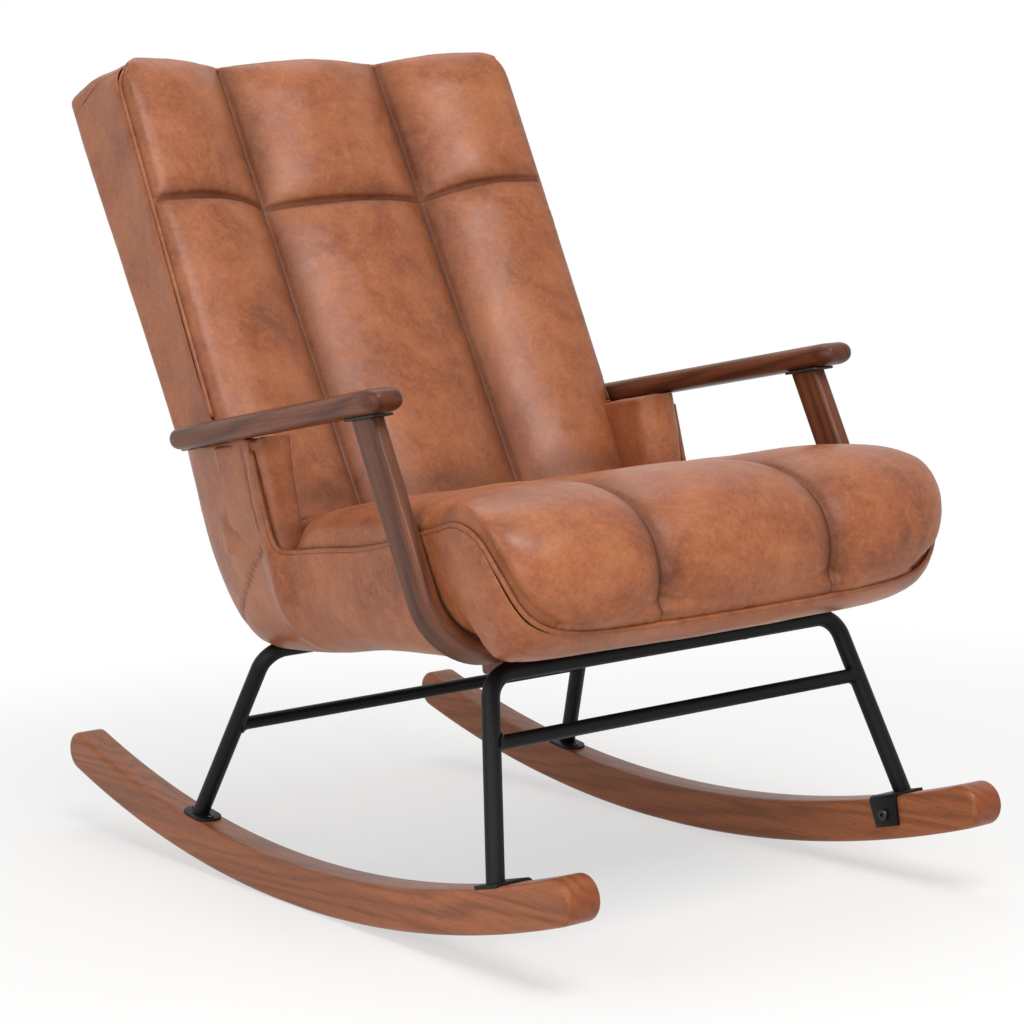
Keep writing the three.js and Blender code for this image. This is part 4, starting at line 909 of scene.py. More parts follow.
def make_hoop(name, foot_x, foot_y, bar):
    """One tube bent at two corners, with its feet cut to the plates."""
    tube = bpy.context.scene.chair_sizes.tube
    corners = hoop_corners(foot_x, foot_y, bar)
    first = (corners[1] - corners[0]).normalized()
    last = (corners[2] - corners[3]).normalized()
    longer = [corners[0] - first * tube, *corners[1:3], corners[3] - last * tube]
    bm = bmesh.new()
    verts, edges = ring(bm, circle_points(tube / 2, 28))
    turn = Matrix.Translation(longer[0]) @ turned_to(first, REAR)
    bmesh.ops.transform(bm, matrix=turn, verts=verts)
    bmesh.ops.contextual_create(bm, geom=edges)
    last_row = sweep(bm, edges, longer, HOOP_BEND, 14)
    bmesh.ops.contextual_create(bm, geom=last_row)
    for side in (-1, 1):
        place = on_runner(foot_y, side)
        plane = place @ Vector((0, 0, FOOT_PLATE + 2 * CLEARANCE))
        normal = (place.to_3x3() @ UP).normalized()
        near_foot = [v for v in bm.verts if v.co.x * side > 0]
        kept = set(near_foot)
        geom = near_foot + [e for e in bm.edges if kept.issuperset(e.verts)]
        geom += [f for f in bm.faces if kept.issuperset(f.verts)]
        capped(bm, bmesh.ops.bisect_plane(bm, geom=geom, plane_co=plane, plane_no=normal,
                                          clear_inner=True))
    bmesh.ops.recalc_face_normals(bm, faces=bm.faces)
    finished(f"{name}_tube", bm, "black_steel", [name], sharp=50)


# Millimetres from the leg along a stretcher, and how far its weld flares there
WELD_FLARE = [(0, 3.4), (0.9, 2.6), (1.8, 1.4), (2.6, 0.9), (3.4, 0.35), (4.6, 0)]


def make_stretcher(name, foot_x, foot_y, bar, share):
    """A round bar between the legs, with a flared weld at each end."""
    sizes = bpy.context.scene.chair_sizes
    foot, corner = hoop_corners(foot_x, foot_y, bar)[:2]
    end = foot.lerp(corner, share)
    leg = (corner - foot).normalized()
    reach = abs(end.x) - sizes.tube / 2
    bm = bmesh.new()
    verts, edges = ring(bm, circle_points(sizes.stretcher / 2, 24))
    bmesh.ops.transform(bm, matrix=turned_to(LEFT, REAR), verts=verts)
    places = [(reach - gap * MM, extra * MM) for gap, extra in WELD_FLARE]
    places = [(-x, extra) for x, extra in places] + [(x, extra) for x, extra in reversed(places)]
    radius = sizes.stretcher / 2
    x_here, extra_here = places[0]
    bmesh.ops.translate(bm, verts=verts, vec=Vector((x_here, 0, 0)))
    rows = [(verts, extra_here)]
    for x, extra in places[1:]:
        fresh, edges = extruded(bm, edges)
        bmesh.ops.translate(bm, verts=fresh, vec=Vector((x - x_here, 0, 0)))
        x_here = x
        rows.append((fresh, extra))
    for row, extra in rows:
        for v in row:
            ripple = 1 + 0.18 * noise.noise(v.co * 900)
            scale = (radius + extra * ripple) / radius
            v.co.y *= scale
            v.co.z *= scale
    # The ends follow the round and the slant of the leg
    for v in bm.verts:
        side = 1 if v.co.x > 0 else -1
        share_out = ease(abs(v.co.x), reach - 7 * MM, reach)
        across = min(abs(v.co.y), sizes.tube / 2.2)
        dip = sizes.tube / 2 - math.sqrt((sizes.tube / 2) ** 2 - across ** 2)
        v.co.x += side * share_out * (dip + CLEARANCE - leg.x * v.co.z / leg.z)
    bmesh.ops.translate(bm, verts=bm.verts, vec=Vector((0, end.y, end.z)))
    holes = [e for e in bm.edges if len(e.link_faces) == 1]
    bmesh.ops.holes_fill(bm, edges=holes, sides=0)
    bmesh.ops.recalc_face_normals(bm, faces=bm.faces)
    finished(f"{name}_bar", bm, "black_steel", [name], sharp=60)


# Arms and posts

ARM_SLOPE = (ARM_REAR.z - ARM_FRONT.z) / (ARM_REAR.y - ARM_FRONT.y)
ARM_TILT = math.atan(ARM_SLOPE)
ARM_LENGTH = (ARM_REAR - ARM_FRONT).length
ARM_MIDDLE = (ARM_FRONT + ARM_REAR) / 2
SPACER_ALONG = (POST_TOP_Y - ARM_MIDDLE.y) / math.cos(ARM_TILT)


def arm_under(y):
    """Height of the under face of the arms."""
    return ARM_FRONT.z + (y - ARM_FRONT.y) * ARM_SLOPE - ARM_THICK / 2 / math.cos(ARM_TILT)


def on_arm(side):
    """Place of an arm's middle, with Y along it and Z up out of it."""
    middle = ARM_MIDDLE + LEFT * side * ARM_X
    return Matrix.Translation(middle) @ Matrix.Rotation(ARM_TILT, 4, "X")


def make_arm(side):
    """A shaped bar of walnut, with round edges and a rounder front end."""
    name = side_name(side)
    half = (ARM_WIDTH / 2, ARM_LENGTH / 2, ARM_THICK / 2)
    radius = (ARM_ROUND, ARM_END_ROUND, ARM_ROUND)

    def place(a, b, c):
        return Vector(rounded_place([crowded(s) * h for s, h in zip((a, b, c), half)], half, radius))

    bm = block((16, 60, 12), place)
    grain = bm.verts.layers.float_vector.new("grain")
    ends = bm.verts.layers.float.new("end_grain_and_shade")
    bm.normal_update()
    for v in bm.verts:
        v[grain] = (v.co.x, v.co.z, v.co.y + 0.9 * side)
        # The front nub is darkened with painted shade from a slanted line across the side of the arm;
        # the rounded rear end is darker too, and the end faces take the darker tone of end grain.
        edge = half[1] - 26 * MM - (v.co.z / half[2]) * 9 * MM
        front = ease(-v.co.y, edge - 2 * MM, edge + 2 * MM)
        rear = 0.75 * ease(v.co.y, half[1] - 20 * MM, half[1] - 16 * MM)
        v[ends] = max(front, rear, 0.8 * ease(abs(v.normal.y), 0.5, 0.9))
    bmesh.ops.transform(bm, matrix=on_arm(side), verts=bm.verts)
    finished(f"armrest_{name}_wood", bm, "walnut", [f"armrest_{name}"])


def post_corners(side):
    """The ends and the corner of a post's middle line."""
    top_z = arm_under(POST_TOP_Y) - SPACER - 2 * CLEARANCE
    top = Vector((side * POST_X, POST_TOP_Y, top_z))
    down = Vector((0, -math.sin(POST_SLANT), -math.cos(POST_SLANT)))
    length = down.dot(FRONT_BAR - Vector((0, top.y, top.z))) - POST_BAR_OFFSET
    corner = top + down * length
    end = Vector((side * (POST_X - POST_BEND - POST_FOOT), corner.y, corner.z))
    return [top - down * POST_DEPTH / 2, corner, end]


def post_bmesh(side, grow=0.0):
    """A flat bar, steam bent to run down outside the tub and in under it. It may be grown on
    all its faces, to keep a gap round it."""
    corners = post_corners(side)
    bm = bmesh.new()
    grain = bm.verts.layers.float_vector.new("grain")
    verts, edges = ring(bm, rectangle_points(POST_THICK + 2 * grow, POST_DEPTH + 2 * grow, POST_CORNER, 5))
    for v in verts:
        v[grain] = (v.co.y, v.co.x, 0.35 * side)
    heading = corners[1] - corners[0]
    bmesh.ops.transform(bm, matrix=Matrix.Translation(corners[0]) @ turned_to(heading, LEFT), verts=verts)
    bmesh.ops.contextual_create(bm, geom=edges)
    last = sweep(bm, edges, corners, POST_BEND, 22)
    bmesh.ops.contextual_create(bm, geom=last)
    return bm


def make_post(side):
    """A bent walnut post, cut off at the slant of the arm."""
    name = side_name(side)
    bm = post_bmesh(side)
    frame_of_arm = on_arm(side)
    plane = frame_of_arm @ Vector((0, SPACER_ALONG, -ARM_THICK / 2 - SPACER - 2 * CLEARANCE))
    normal = (frame_of_arm.to_3x3() @ UP).normalized()
    capped(bm, bmesh.ops.bisect_plane(bm, geom=bm.verts[:] + bm.edges[:] + bm.faces[:],
                                      plane_co=plane, plane_no=normal, clear_outer=True))
    caps = [f for f in bm.faces if len(f.verts) > 4]
    bmesh.ops.inset_individual(bm, faces=caps, thickness=MM)
    bmesh.ops.recalc_face_normals(bm, faces=bm.faces)
    ends = bm.verts.layers.float.new("end_grain_and_shade")
    for v in bm.verts:
        v[ends] = 0.0
    finished(f"arm_post_{name}_wood", bm, "walnut", [f"arm_post_{name}"], sharp=50)


def make_spacer(side):
    """A thin moulded pad between the post and the arm."""
    name = side_name(side)
    bm = bmesh.new()
    outline = ring(bm, rectangle_points(SPACER_WIDTH, SPACER_LENGTH, POST_CORNER, 6))[1]
    plate(bm, outline, UP * SPACER, 0.7 * MM, 2)
    drop = Vector((side * (POST_X - ARM_X), SPACER_ALONG, -ARM_THICK / 2 - CLEARANCE - SPACER))
    bmesh.ops.transform(bm, matrix=on_arm(side) @ Matrix.Translation(drop), verts=bm.verts)
    finished(f"arm_spacer_{name}_pad", bm, "black_plastic", [f"arm_spacer_{name}"], sharp=40)


def make_cross_rail():
    """The planed walnut rail under the front of the seat, with its edges eased."""
    bm = bmesh.new()
    bm.from_mesh(frame["nodes"]["front_cross_rail"].data)
    bmesh.ops.remove_doubles(bm, verts=bm.verts, dist=MM / 100)
    rounded(bm, [e for e in bm.edges if e.calc_face_angle(0) > math.radians(40)], 0.9 * MM, 2)
    grain = bm.verts.layers.float_vector.new("grain")
    ends = bm.verts.layers.float.new("end_grain_and_shade")
    for v in bm.verts:
        v[grain] = (v.co.y, v.co.z, v.co.x)
        v[ends] = 0.0
    finished("front_cross_rail_wood", bm, "walnut", ["front_cross_rail"], sharp=40)


# Tub

# Rows round half of the tub, from the middle of the rear to the middle of the front: rim
# across, rim along (behind the origin, or negative in front of it), rim height, and how
# far the wall swings out, as shares of the half width, the rear or front reach, the wing
# top's height and the way from the bottom ring.
RIM_SHARES = [
    (0, 1, 0.945, 0.3), (0.4, 1, 0.945, 0.3), (0.72, 0.991, 0.945, 0.34),
    (0.89, 0.955, 0.946, 0.44), (0.975, 0.837, 0.951, 0.6), (1.01, 0.644, 0.962, 0.82),
    (1.03, 0.343, 0.979, 0.97), (1.045, 0.043, 0.998, 1), (1.045, 0.008, 0.97, 1),
    (1.035, -0.044, 0.81, 1), (1.025, -0.064, 0.773, 1), (1.008, -0.1, 0.769, 1),
    (0.997, -0.22, 0.781, 1), (0.997, -0.40, 0.797, 1), (1.003, -0.55, 0.823, 1),
    (1.014, -0.7, 0.855, 1), (1.03, -0.8, 0.873, 1), (1.033, -0.885, 0.85, 1),
    (1.01, -0.937, 0.79, 0.95), (0.94, -0.964, 0.71, 0.87), (0.84, -0.974, 0.676, 0.82),
    (0.6, -0.986, 0.662, 0.79), (0.33, -0.996, 0.659, 0.78), (0, -1, 0.658, 0.78),
]
# The welt starts at this row, and is inset backwards where the rim's share across is smaller
WELT_SKIP_COUNT = 8
WELT_FRONT_SHARE = 0.7
# Plain seams on the left side of the tub, in millimetres: from the foot of the wing down and
# back to the rear corner, from the welt's front corner down and back under the tub, and
# beside the wing, a little behind the edge
REAR_SEAM = [(296, -8, 418), (297, 30, 392), (290, 78, 352), (272, 118, 322), (250, 140, 304)]
FRONT_SEAM = [(270, -478, 378), (262, -462, 352), (250, -430, 332), (236, -395, 322)]
WING_SEAM = [(303, 26, 527), (301, 10, 472), (296, -8, 418)]


def rim_point(row):
    """The point of the rim that a row of shares gives."""
    across, along, high = row[:3]
    return Vector((across * TUB_HALF, along * (TUB_REAR if along > 0 else TUB_REACH), high * WING_TOP))


def rim_ring():
    """Points round the whole rim and back to the first, and how far the wall swings out there."""
    points = [rim_point(row) for row in RIM_SHARES]
    swings = [row[3] for row in RIM_SHARES]
    return points + mirrored(points[1:-1]) + points[:1], swings + swings[-2:0:-1] + swings[:1]


def bottom_height(y):
    return BOTTOM_REAR_Z + (BOTTOM_REAR_Y - y) * BOTTOM_RISE


def bottom_place(rim):
    """The point of the bottom ring under a point of the rim."""
    middle = BOTTOM_MIDDLE_Y
    half = (BOTTOM_BACK_Y - BOTTOM_FRONT_Y) / 2
    across = min(max(rim.x / TUB_HALF, -1), 1) * BOTTOM_HALF
    reach = TUB_REAR - middle if rim.y > middle else middle + TUB_REACH
    y = middle + (rim.y - middle) / reach * half
    return Vector((across, y, bottom_height(y)))


def wall_place(rim, normal, swing, share):
    """A place on the outside of the wall, from 0 at the bottom ring to 1 at the rim."""
    foot = bottom_place(rim)
    top = rim - normal * lerp(2 * CLEARANCE, WELT_SEAT, ease(-rim.y, -20 * MM, 0))
    turn = foot.lerp(top, swing)
    turn.z = foot.z
    return foot * (1 - share) ** 2 + turn * 2 * share * (1 - share) + top * share ** 2


# How far out from the cover the rays that look for a post start
POST_REACH = 60 * MM


def clear_of(co, line, radius):
    """A place pushed out of a round bar that follows a line."""
    for a, b in zip(line, line[1:]):
        share = min(max((co - a).dot(b - a) / (b - a).length_squared, 0), 1)
        nearest = a.lerp(b, share)
        away = co - nearest
        if away.length < radius:
            co = nearest + away.normalized() * radius
    return co


def press_in(bm):
    """Presses the cover in where the posts run down beside it."""
    posts = {side: BVHTree.FromBMesh(post_bmesh(side, 1.2 * MM)) for side in (-1, 1)}
    press = {}
    for v in bm.verts:
        tree = posts[1 if v.co.x > 0 else -1]
        way = Vector((-v.co.x, 0, 0.35 * abs(v.co.x))).normalized()
        start = v.co - way * POST_REACH
        far = 0.0
        hit = tree.ray_cast(start, way, 2 * POST_REACH)[0]
        while hit is not None:
            far = (hit - start).length
            hit = tree.ray_cast(hit + way * MM / 10, way, 2 * POST_REACH - far)[0]
        press[v] = way * max(0.0, far - POST_REACH)
    # The dent spreads to its neighbours
    for _ in range(3):
        press = {v: max([press[v]] + [press[e.other_vert(v)] * 0.72 for e in v.link_edges],
                        key=lambda way: way.length) for v in bm.verts}
    for v in bm.verts:
        v.co = v.co + press[v]


def add_wall(bm, shares, inwards):
    """Adds the same sheet again further in, joined at the rim and at the bottom, and gives
    back the edges of both joints."""
    outer = {level: [e for e in bm.edges if all(abs(shares[v] - level) < 0.001 for v in e.verts)]
             for level in (0, 1)}
    made = bmesh.ops.duplicate(bm, geom=bm.verts[:] + bm.edges[:] + bm.faces[:])
    twins = {v: made["vert_map"][v] for v in inwards}
    edge_twins = made["edge_map"]
    bmesh.ops.reverse_faces(bm, faces=[g for g in made["geom"] if isinstance(g, bmesh.types.BMFace)])
    for v, twin in twins.items():
        twin.co = twin.co + inwards[v] * TUB_WALL
    rims = []
    for edges in outer.values():
        joint = edges + [edge_twins[e] for e in edges]
        rims += joint
        bmesh.ops.bridge_loops(bm, edges=joint)
    bmesh.ops.recalc_face_normals(bm, faces=bm.faces)
    return rims


def make_tub():
    """The sewn outer cover of the tub: a band from the bottom ring to the rim, with a wall."""
    rim_points, rim_swings = rim_ring()
    around = through(rim_points)
    swings = through([Vector((swing, 0, 0)) for swing in rim_swings])
    stations = 4 * (len(rim_points) - 1)
    rises = 26
    bm = bmesh.new()
    bmesh.ops.create_cone(bm, cap_ends=False, segments=stations, radius1=1, radius2=1, depth=2)
    upright = [e for e in bm.edges if abs(e.verts[0].co.z - e.verts[1].co.z) > 1]
    bmesh.ops.subdivide_edges(bm, edges=upright, cuts=rises - 1, use_grid_fill=True)
    tube = bpy.context.scene.chair_sizes.tube
    rear_tube = hoop_corners(REAR_FOOT_X, REAR_FOOT_Y, REAR_BAR)
    step = 1 / stations
    shares, inwards = {}, {}
    for v in bm.verts:
        turn = round((math.atan2(v.co.x, v.co.y) / (2 * math.pi)) % 1 * stations) % stations / stations
        share = (v.co.z + 1) / 2
        rim = around(turn)
        along = (around((turn + step) % 1) - around((turn - step) % 1)).normalized()
        normal = (UP - along * along.z).normalized()
        place = wall_place(rim, normal, swings(turn).x, share)
        outward = Vector((place.x, place.y - BOTTOM_MIDDLE_Y, 0)).normalized()
        inward = Vector((-along.y, along.x, 0)).normalized()
        shares[v] = share
        inwards[v] = inward if inward.dot(outward) < 0 else -inward
        # Padding swells the panels between the welt and the bottom, and sags over the rear bar
        swell = math.sin(math.pi * share) * (2.4 * MM + 1.6 * MM * noise.noise(place * 11))
        sag = 13 * MM * (1 - share) ** 2 * ease(place.y, -0.2, 0.02)
        v.co = clear_of(place + outward * swell - UP * sag, rear_tube, tube / 2 + MM)
    press_in(bm)
    rims = add_wall(bm, shares, inwards)
    rounded(bm, rims, 2 * MM, 3)
    tub = finished("seat_tub_cover", bm, "leather", ["seat_tub"])
    subdivided(tub)

    tree = finder([point for line in tub_seam_lines() for point in laid_on(tub, line, 0)])

    def shape(co, normal, cell):
        wrinkles = 0.25 * MM * noise.noise(co / (9 * MM))
        gap = tree.find(co)[2]
        groove = -0.9 * MM * near(gap, 4 * MM)
        # Painted shade: the cover is darker along its plain seams.
        return groove + cushioned(co, 0.9 * MM) + wrinkles, 0.85 * near(gap, 3 * MM)
    detail(tub, shape)
    return tub


def tub_seam_lines():
    """Rough lines of the plain seams on both sides of the tub."""
    lines = []
    for side in (-1, 1):
        for seam, count in ((REAR_SEAM, 60), (FRONT_SEAM, 40), (WING_SEAM, 40)):
            line = through([Vector((side * x * MM, y * MM, z * MM)) for x, y, z in seam])
            lines.append(sampled(line, count))
    return lines


def seat_welt_line():
    """The middle line of the seat's welt, from one wing top round the front to the other."""
    inset = bpy.context.scene.chair_sizes.welt / 2
    half = []
    rim = [rim_point(row) for row in RIM_SHARES]
    for i in range(WELT_SKIP_COUNT, len(rim)):
        row, point = RIM_SHARES[i], rim[i].copy()
        along = (rim[min(i + 1, len(rim) - 1)] - rim[i - 1]).normalized()
        point -= (UP - along * along.z).normalized() * (inset + 1.2 * MM)
        point.x -= inset if row[0] > 0 else 0
        point.y += inset if row[0] < WELT_FRONT_SHARE else 0
        half.append(point)
    return half + mirrored(half[:-1])


def make_seat_welt():
    """A cord in a strip of leather, sewn into the seam between the tub and the seat."""
    points = sampled(through(seat_welt_line()), 320)
    radius = bpy.context.scene.chair_sizes.welt / 2
    cord_piece("seat_welt_cord", [points], radius, ["seat_welt"], 12)


# Seat cushion

# Rows from the back to the front edge, as shares of the tub's half width, reach and the
# crest's height: edge across, edge along, edge height, crown along, crown height,
# underside along, underside height, and how far the side swells past its edge.
SEAT_ROW_SHARES = [
    (0.84, 0.15, 0.835, 0.165, 0.862, 0.13, 0, 0),
    (0.84, 0.06, 0.84, 0.07, 0.878, 0.06, 0, 0),
    (0.84, -0.045, 0.85, -0.03, 0.897, -0.04, 0, 0),
    (0.985, -0.12, 0.852, -0.12, 0.912, -0.12, 0, 0),
    (0.987, -0.25, 0.86, -0.26, 0.934, -0.25, 0, 0),
    (0.987, -0.40, 0.876, -0.42, 0.957, -0.38, 0, 0),
    (0.993, -0.55, 0.905, -0.57, 0.977, -0.52, 0.7, 0),
    (1.002, -0.69, 0.94, -0.71, 0.996, -0.66, 0.745, 0),
    (1.016, -0.795, 0.958, -0.82, 0.998, -0.76, 0.77, 0.02),
    (1.02, -0.88, 0.940, -0.93, 0.965, -0.82, 0.775, 0.04),
    (0.998, -0.935, 0.864, -1.0, 0.905, -0.86, 0.76, 0.045),
    (0.928, -0.965, 0.779, -1.03, 0.82, -0.90, 0.745, 0.04),
    (0.835, -0.972, 0.739, -1.022, 0.76, -0.93, 0.735, 0.02),
    (0.828, -0.973, 0.738, -1.005, 0.728, -0.95, 0.725, 0),
]
# Height of the lowest part of the cushion's underside
DECK_Z = 345 * MM


def panel_grid(seam, cells):
    """Shares across a cushion, from -1 to 1, crowded towards the seams and the edges."""
    stops = [(-1, -seam), (-seam, seam), (seam, 1)]
    places = [-1]
    for low, high in stops:
        for i in range(1, cells + 1):
            share = crowded(2 * i / cells - 1, 0.55)
            places.append(lerp(low, high, (share + 1) / 2))
    return places


def panel_puff(across, seam, half):
    """How full a panel is across its width: 0 on a seam or edge, 1 over the middle."""
    away = abs(across)
    share = away / seam if away < seam else abs(2 * (away - seam) / (half - seam) - 1)
    return (1 - min(1, share) ** 2) ** 0.7


def seat_puff(side, seam_share):
    """How full the seat is across its width, in shares of its half width."""
    away = abs(side)
    if away < seam_share:
        return (1 - (away / seam_share) ** 2) ** 0.68
    share = min(1, 2 * (away - seam_share) / (1 - seam_share))
    return (1 - (1 - share) ** 2) ** 0.68


def make_seat_cushion():
    """Foam in a leather cover, sewn into three long channels and rolled over the front."""
    sizes = bpy.context.scene.chair_sizes
    scale = (TUB_HALF, TUB_REACH, SEAT_CREST, TUB_REACH, SEAT_CREST, TUB_REACH, SEAT_CREST, TUB_HALF)
    rows = [[share * size for share, size in zip(row, scale)] for row in SEAT_ROW_SHARES]
    edges = through([Vector(row[0:3]) for row in rows])
    crowns = through([Vector((row[7], row[3], row[4])) for row in rows])
    unders = through([Vector((0, row[5], row[6])) for row in rows])
    seam_share = sizes.seam / TUB_HALF
    grid = panel_grid(seam_share, sizes.cells)
    columns = len(grid) - 1
    step = 1 / 400
    tree = finder(sampled(through(seat_welt_line()), 400))

    def across_at(side, half):
        """Channel seams keep their distance, and only the outer channels follow the edge."""
        away = abs(side)
        if away < seam_share:
            return side * TUB_HALF
        past = (away - seam_share) / (1 - seam_share)
        return math.copysign(lerp(sizes.seam, half, past), side)

    def place(a, b, c):
        share = (1 - b) / 2
        side = grid[round((a + 1) / 2 * columns)]
        edge = edges(share)
        x = across_at(side, edge.x)
        if c < 1:
            rim = Vector((x, edge.y, edge.z))
            if b < -0.99:
                crown = crowns(1)
                rim = Vector((x, crown.y, crown.z)).lerp(rim, roll(abs(side), 0.66))
            # The cover runs down from its edge and is sewn in beside the welt
            cord, _, gap = tree.find(rim)
            inward = Vector((-cord.x, -0.2 - cord.y, 0)).normalized()
            seam = cord + inward * (sizes.welt / 2 + 0.6 * MM) - UP * MM
            if abs(cord.x) <= 0.24:
                seam.x = rim.x
            if gap > 40 * MM:
                seam = rim - UP * 12 * MM
            under = unders(share)
            low = Vector((x * 0.97, under.y, max(under.z, DECK_Z)))
            if c > 0:
                bulge = (rim - Vector((0, -0.2, rim.z))).normalized() * 1.2 * MM
                return rim.lerp(seam, 0.45) + bulge
            if c > -0.9:
                return seam
            if abs(a) > 0.99 or abs(b) > 0.99:
                return seam.lerp(low, 0.6)
            return low
        crown = crowns(share)
        rolled = roll(abs(side), 0.66)
        swell = math.copysign(crown.x * 4 * rolled * (1 - rolled), side)
        forward = crowns(min(share + step, 1)) - crowns(max(share - step, 0))
        outward = Vector((0, forward.z, -forward.y)).normalized()
        puff = seat_puff(side, seam_share)
        spot = Vector((0, crown.y, crown.z)).lerp(Vector((0, edge.y, edge.z)), rolled)
        start = ease(share, 0.0, 0.06) * (1 - ease(share, 0.965, 1.0))
        spot += outward * sizes.seat_crown * (puff - 1) * (1 - rolled) * start
        tuck = 1 - 0.014 * ease(abs(side), 0.9, 1)
        return Vector((x * tuck + swell, spot.y, spot.z))

    bm = block((columns, 84, 4), place)
    cushion = finished("seat_cushion_cover", bm, "leather", ["seat_cushion"])
    held = []
    cells = cushion.data.attributes["cell"].data
    for v in cushion.data.vertices:
        side = grid[round((cells[v.index].vector.x + 1) / 2 * columns)]
        on_seam = abs(abs(side) - seam_share) < 0.01
        near_welt = tree.find(v.co)[2] < 9 * MM
        if on_seam or near_welt or v.normal.z < -0.2 or v.co.y > 40 * MM:
            held.append(v.index)
    inflate(cushion, held, 12 * MM)
    subdivided(cushion)

    def shape(co, normal, cell):
        column = min(max((cell.x + 1) / 2 * columns, 0), columns - 0.001)
        side = lerp(grid[int(column)], grid[int(column) + 1], column % 1)
        gap = abs(abs(side) - seam_share) * TUB_HALF
        top = 1 - ease(-normal.z, 0.5, 0.85)
        groove = -(3.4 * near(gap, 3.0 * MM) + 2.2 * near(gap, 11 * MM)) * MM * top
        pull = near(gap, 20 * MM) - near(gap, 5 * MM)
        puckers = 0.55 * MM * pull * noise.noise(Vector((co.x / (60 * MM), (co.y - co.z) / (6 * MM), 3)))
        hem = near(max(0, co.z - DECK_Z), 40 * MM) * ease(-co.y, 0.43, 0.47)
        gathers = 0.8 * MM * hem * noise.noise(Vector((co.x / (6 * MM), co.z / (45 * MM), 7)))
        fine = 0.18 * MM * noise.noise(co / (7 * MM))
        hem_gap = max(0, tree.find(co)[2] - sizes.welt / 2)
        # Painted shade: darker on the channel seams, in a wider band beside them, and beside the welt, on
        # faces that do not look down.
        crease_shade = max(near(gap, 2.0 * MM), 0.5 * near(gap, 20 * MM), 0.3 * near(hem_gap, 5 * MM)) * top
        return groove + puckers + gathers + fine + cushioned(co), crease_shade
    detail(cushion, shape)
    return cushion


# Back

def on_back(across, up, out):
    """A place from its distances across, up and out of the back."""
    return BACK_FOOT + LEFT * across + BACK_UP * up + BACK_OUT * out


def off_back(co):
    """A place's distances across, up and out of the back."""
    way = co - BACK_FOOT
    return way.x, way.dot(BACK_UP), way.dot(BACK_OUT)


def welt_out(up):
    """How far out of the back its side welts lie."""
    return lerp(WELT_OUT_LOW, WELT_OUT_HIGH, min(max(up / BACK_HEIGHT, 0), 1))


def past_seam(across):
    """0 between the channel seams, 1 at the side edges of the back."""
    seam = bpy.context.scene.chair_sizes.seam
    return min(max((abs(across) - seam) / (BACK_HALF - seam), 0), 1)


def base_out(across, up):
    """How far out the back's seams lie: level in the middle, rising to the side welts."""
    middle = 9 * MM * ease(up, BAND_START, BACK_HEIGHT) * near(across, 70 * MM)
    low = 9 * MM * (1 - ease(up, 0, 0.13))
    return (welt_out(up) + low) * past_seam(across) ** 1.1 + middle


def top_edge(across):
    """How far up the back its top edge lies, which is lower at the corners."""
    return BACK_HEIGHT + TOP_RISE * (1 - past_seam(across) ** 1.5)


def shell_start(out):
    """How far up the back the shell starts, on the under face of the arms."""
    foot = on_back(0, 0, out)
    return (arm_under(foot.y) - foot.z) / (BACK_UP.z - ARM_SLOPE * BACK_UP.y)


def make_back_shell():
    """The outside back: a leather cover pulled over a shell, open to the cushion."""
    def place(a, b, c):
        rise = crowded((b + 1) / 2)
        deep = crowded((1 - c) / 2)
        corner = lerp(TOP_CORNER, REAR_CORNER, ease(deep, 0, 0.5))
        across, up = rounded_place([crowded(a) * BACK_HALF, rise * BACK_HEIGHT, 0],
                                   [BACK_HALF, BACK_HEIGHT, 1], [corner, corner, 1])[:2]
        share = up / BACK_HEIGHT
        depth = lerp(SHELL_DEPTH_LOW, SHELL_DEPTH_HIGH, ease(share, 0.1, 0.95))
        low_in_front = 12 * MM * (1 - ease(share, 0.2, 0.3)) * (1 - past_seam(across))
        front = base_out(across, up) - low_in_front
        out = lerp(front, -depth, deep)
        start = shell_start(out) + CLEARANCE
        up = lerp(start, lerp(top_edge(across), BACK_HEIGHT + TOP_RISE + REAR_RISE, deep), share)
        # The rear edges are rounded
        round_share = REAR_ROUND / (front + depth)
        past = max(0, deep - 1 + round_share) / round_share
        inset = REAR_ROUND * (1 - math.sqrt(max(0, 1 - past * past)))
        across *= 1 - inset / BACK_HALF
        return on_back(across, up - inset * share, out)

    bm = block((64, 56, 16), place, open_end=True)
    rear = min(bm.faces, key=lambda f: off_back(f.calc_center_median())[2])
    if rear.normal.dot(BACK_OUT) > 0:
        bmesh.ops.reverse_faces(bm, faces=bm.faces)
    bmesh.ops.solidify(bm, geom=bm.faces[:], thickness=SHELL_WALL)
    bmesh.ops.recalc_face_normals(bm, faces=bm.faces)
    shell = finished("back_shell_cover", bm, "leather", ["back_shell"])
    subdivided(shell)

    def shape(co, normal, cell):
        _, up, out = off_back(co)
        side = ease(abs(normal.x), 0.6, 0.9)
        # The side panels sag a little between the rear edge and the welt
        slack = -1.6 * MM * side * math.sin(math.pi * min(max((out + 80 * MM) / (110 * MM), 0), 1))
        hem = near(out - welt_out(up), 16 * MM) * side
        gathers = 0.5 * MM * hem * noise.noise(Vector((up / (9 * MM), out / (30 * MM), 5)))
        return slack + gathers + cushioned(co, 1.2 * MM), 0.0
    detail(shell, shape)
    return shell


def back_half_at(up):
    """The cushion is narrower between the walls of the tub than above them."""
    start = shell_start(WELT_OUT_LOW) - 8 * MM
    full = BACK_HALF - 0.75 * bpy.context.scene.chair_sizes.welt
    return lerp(BACK_LOW_HALF, full, ease(up, start, start + 26 * MM))


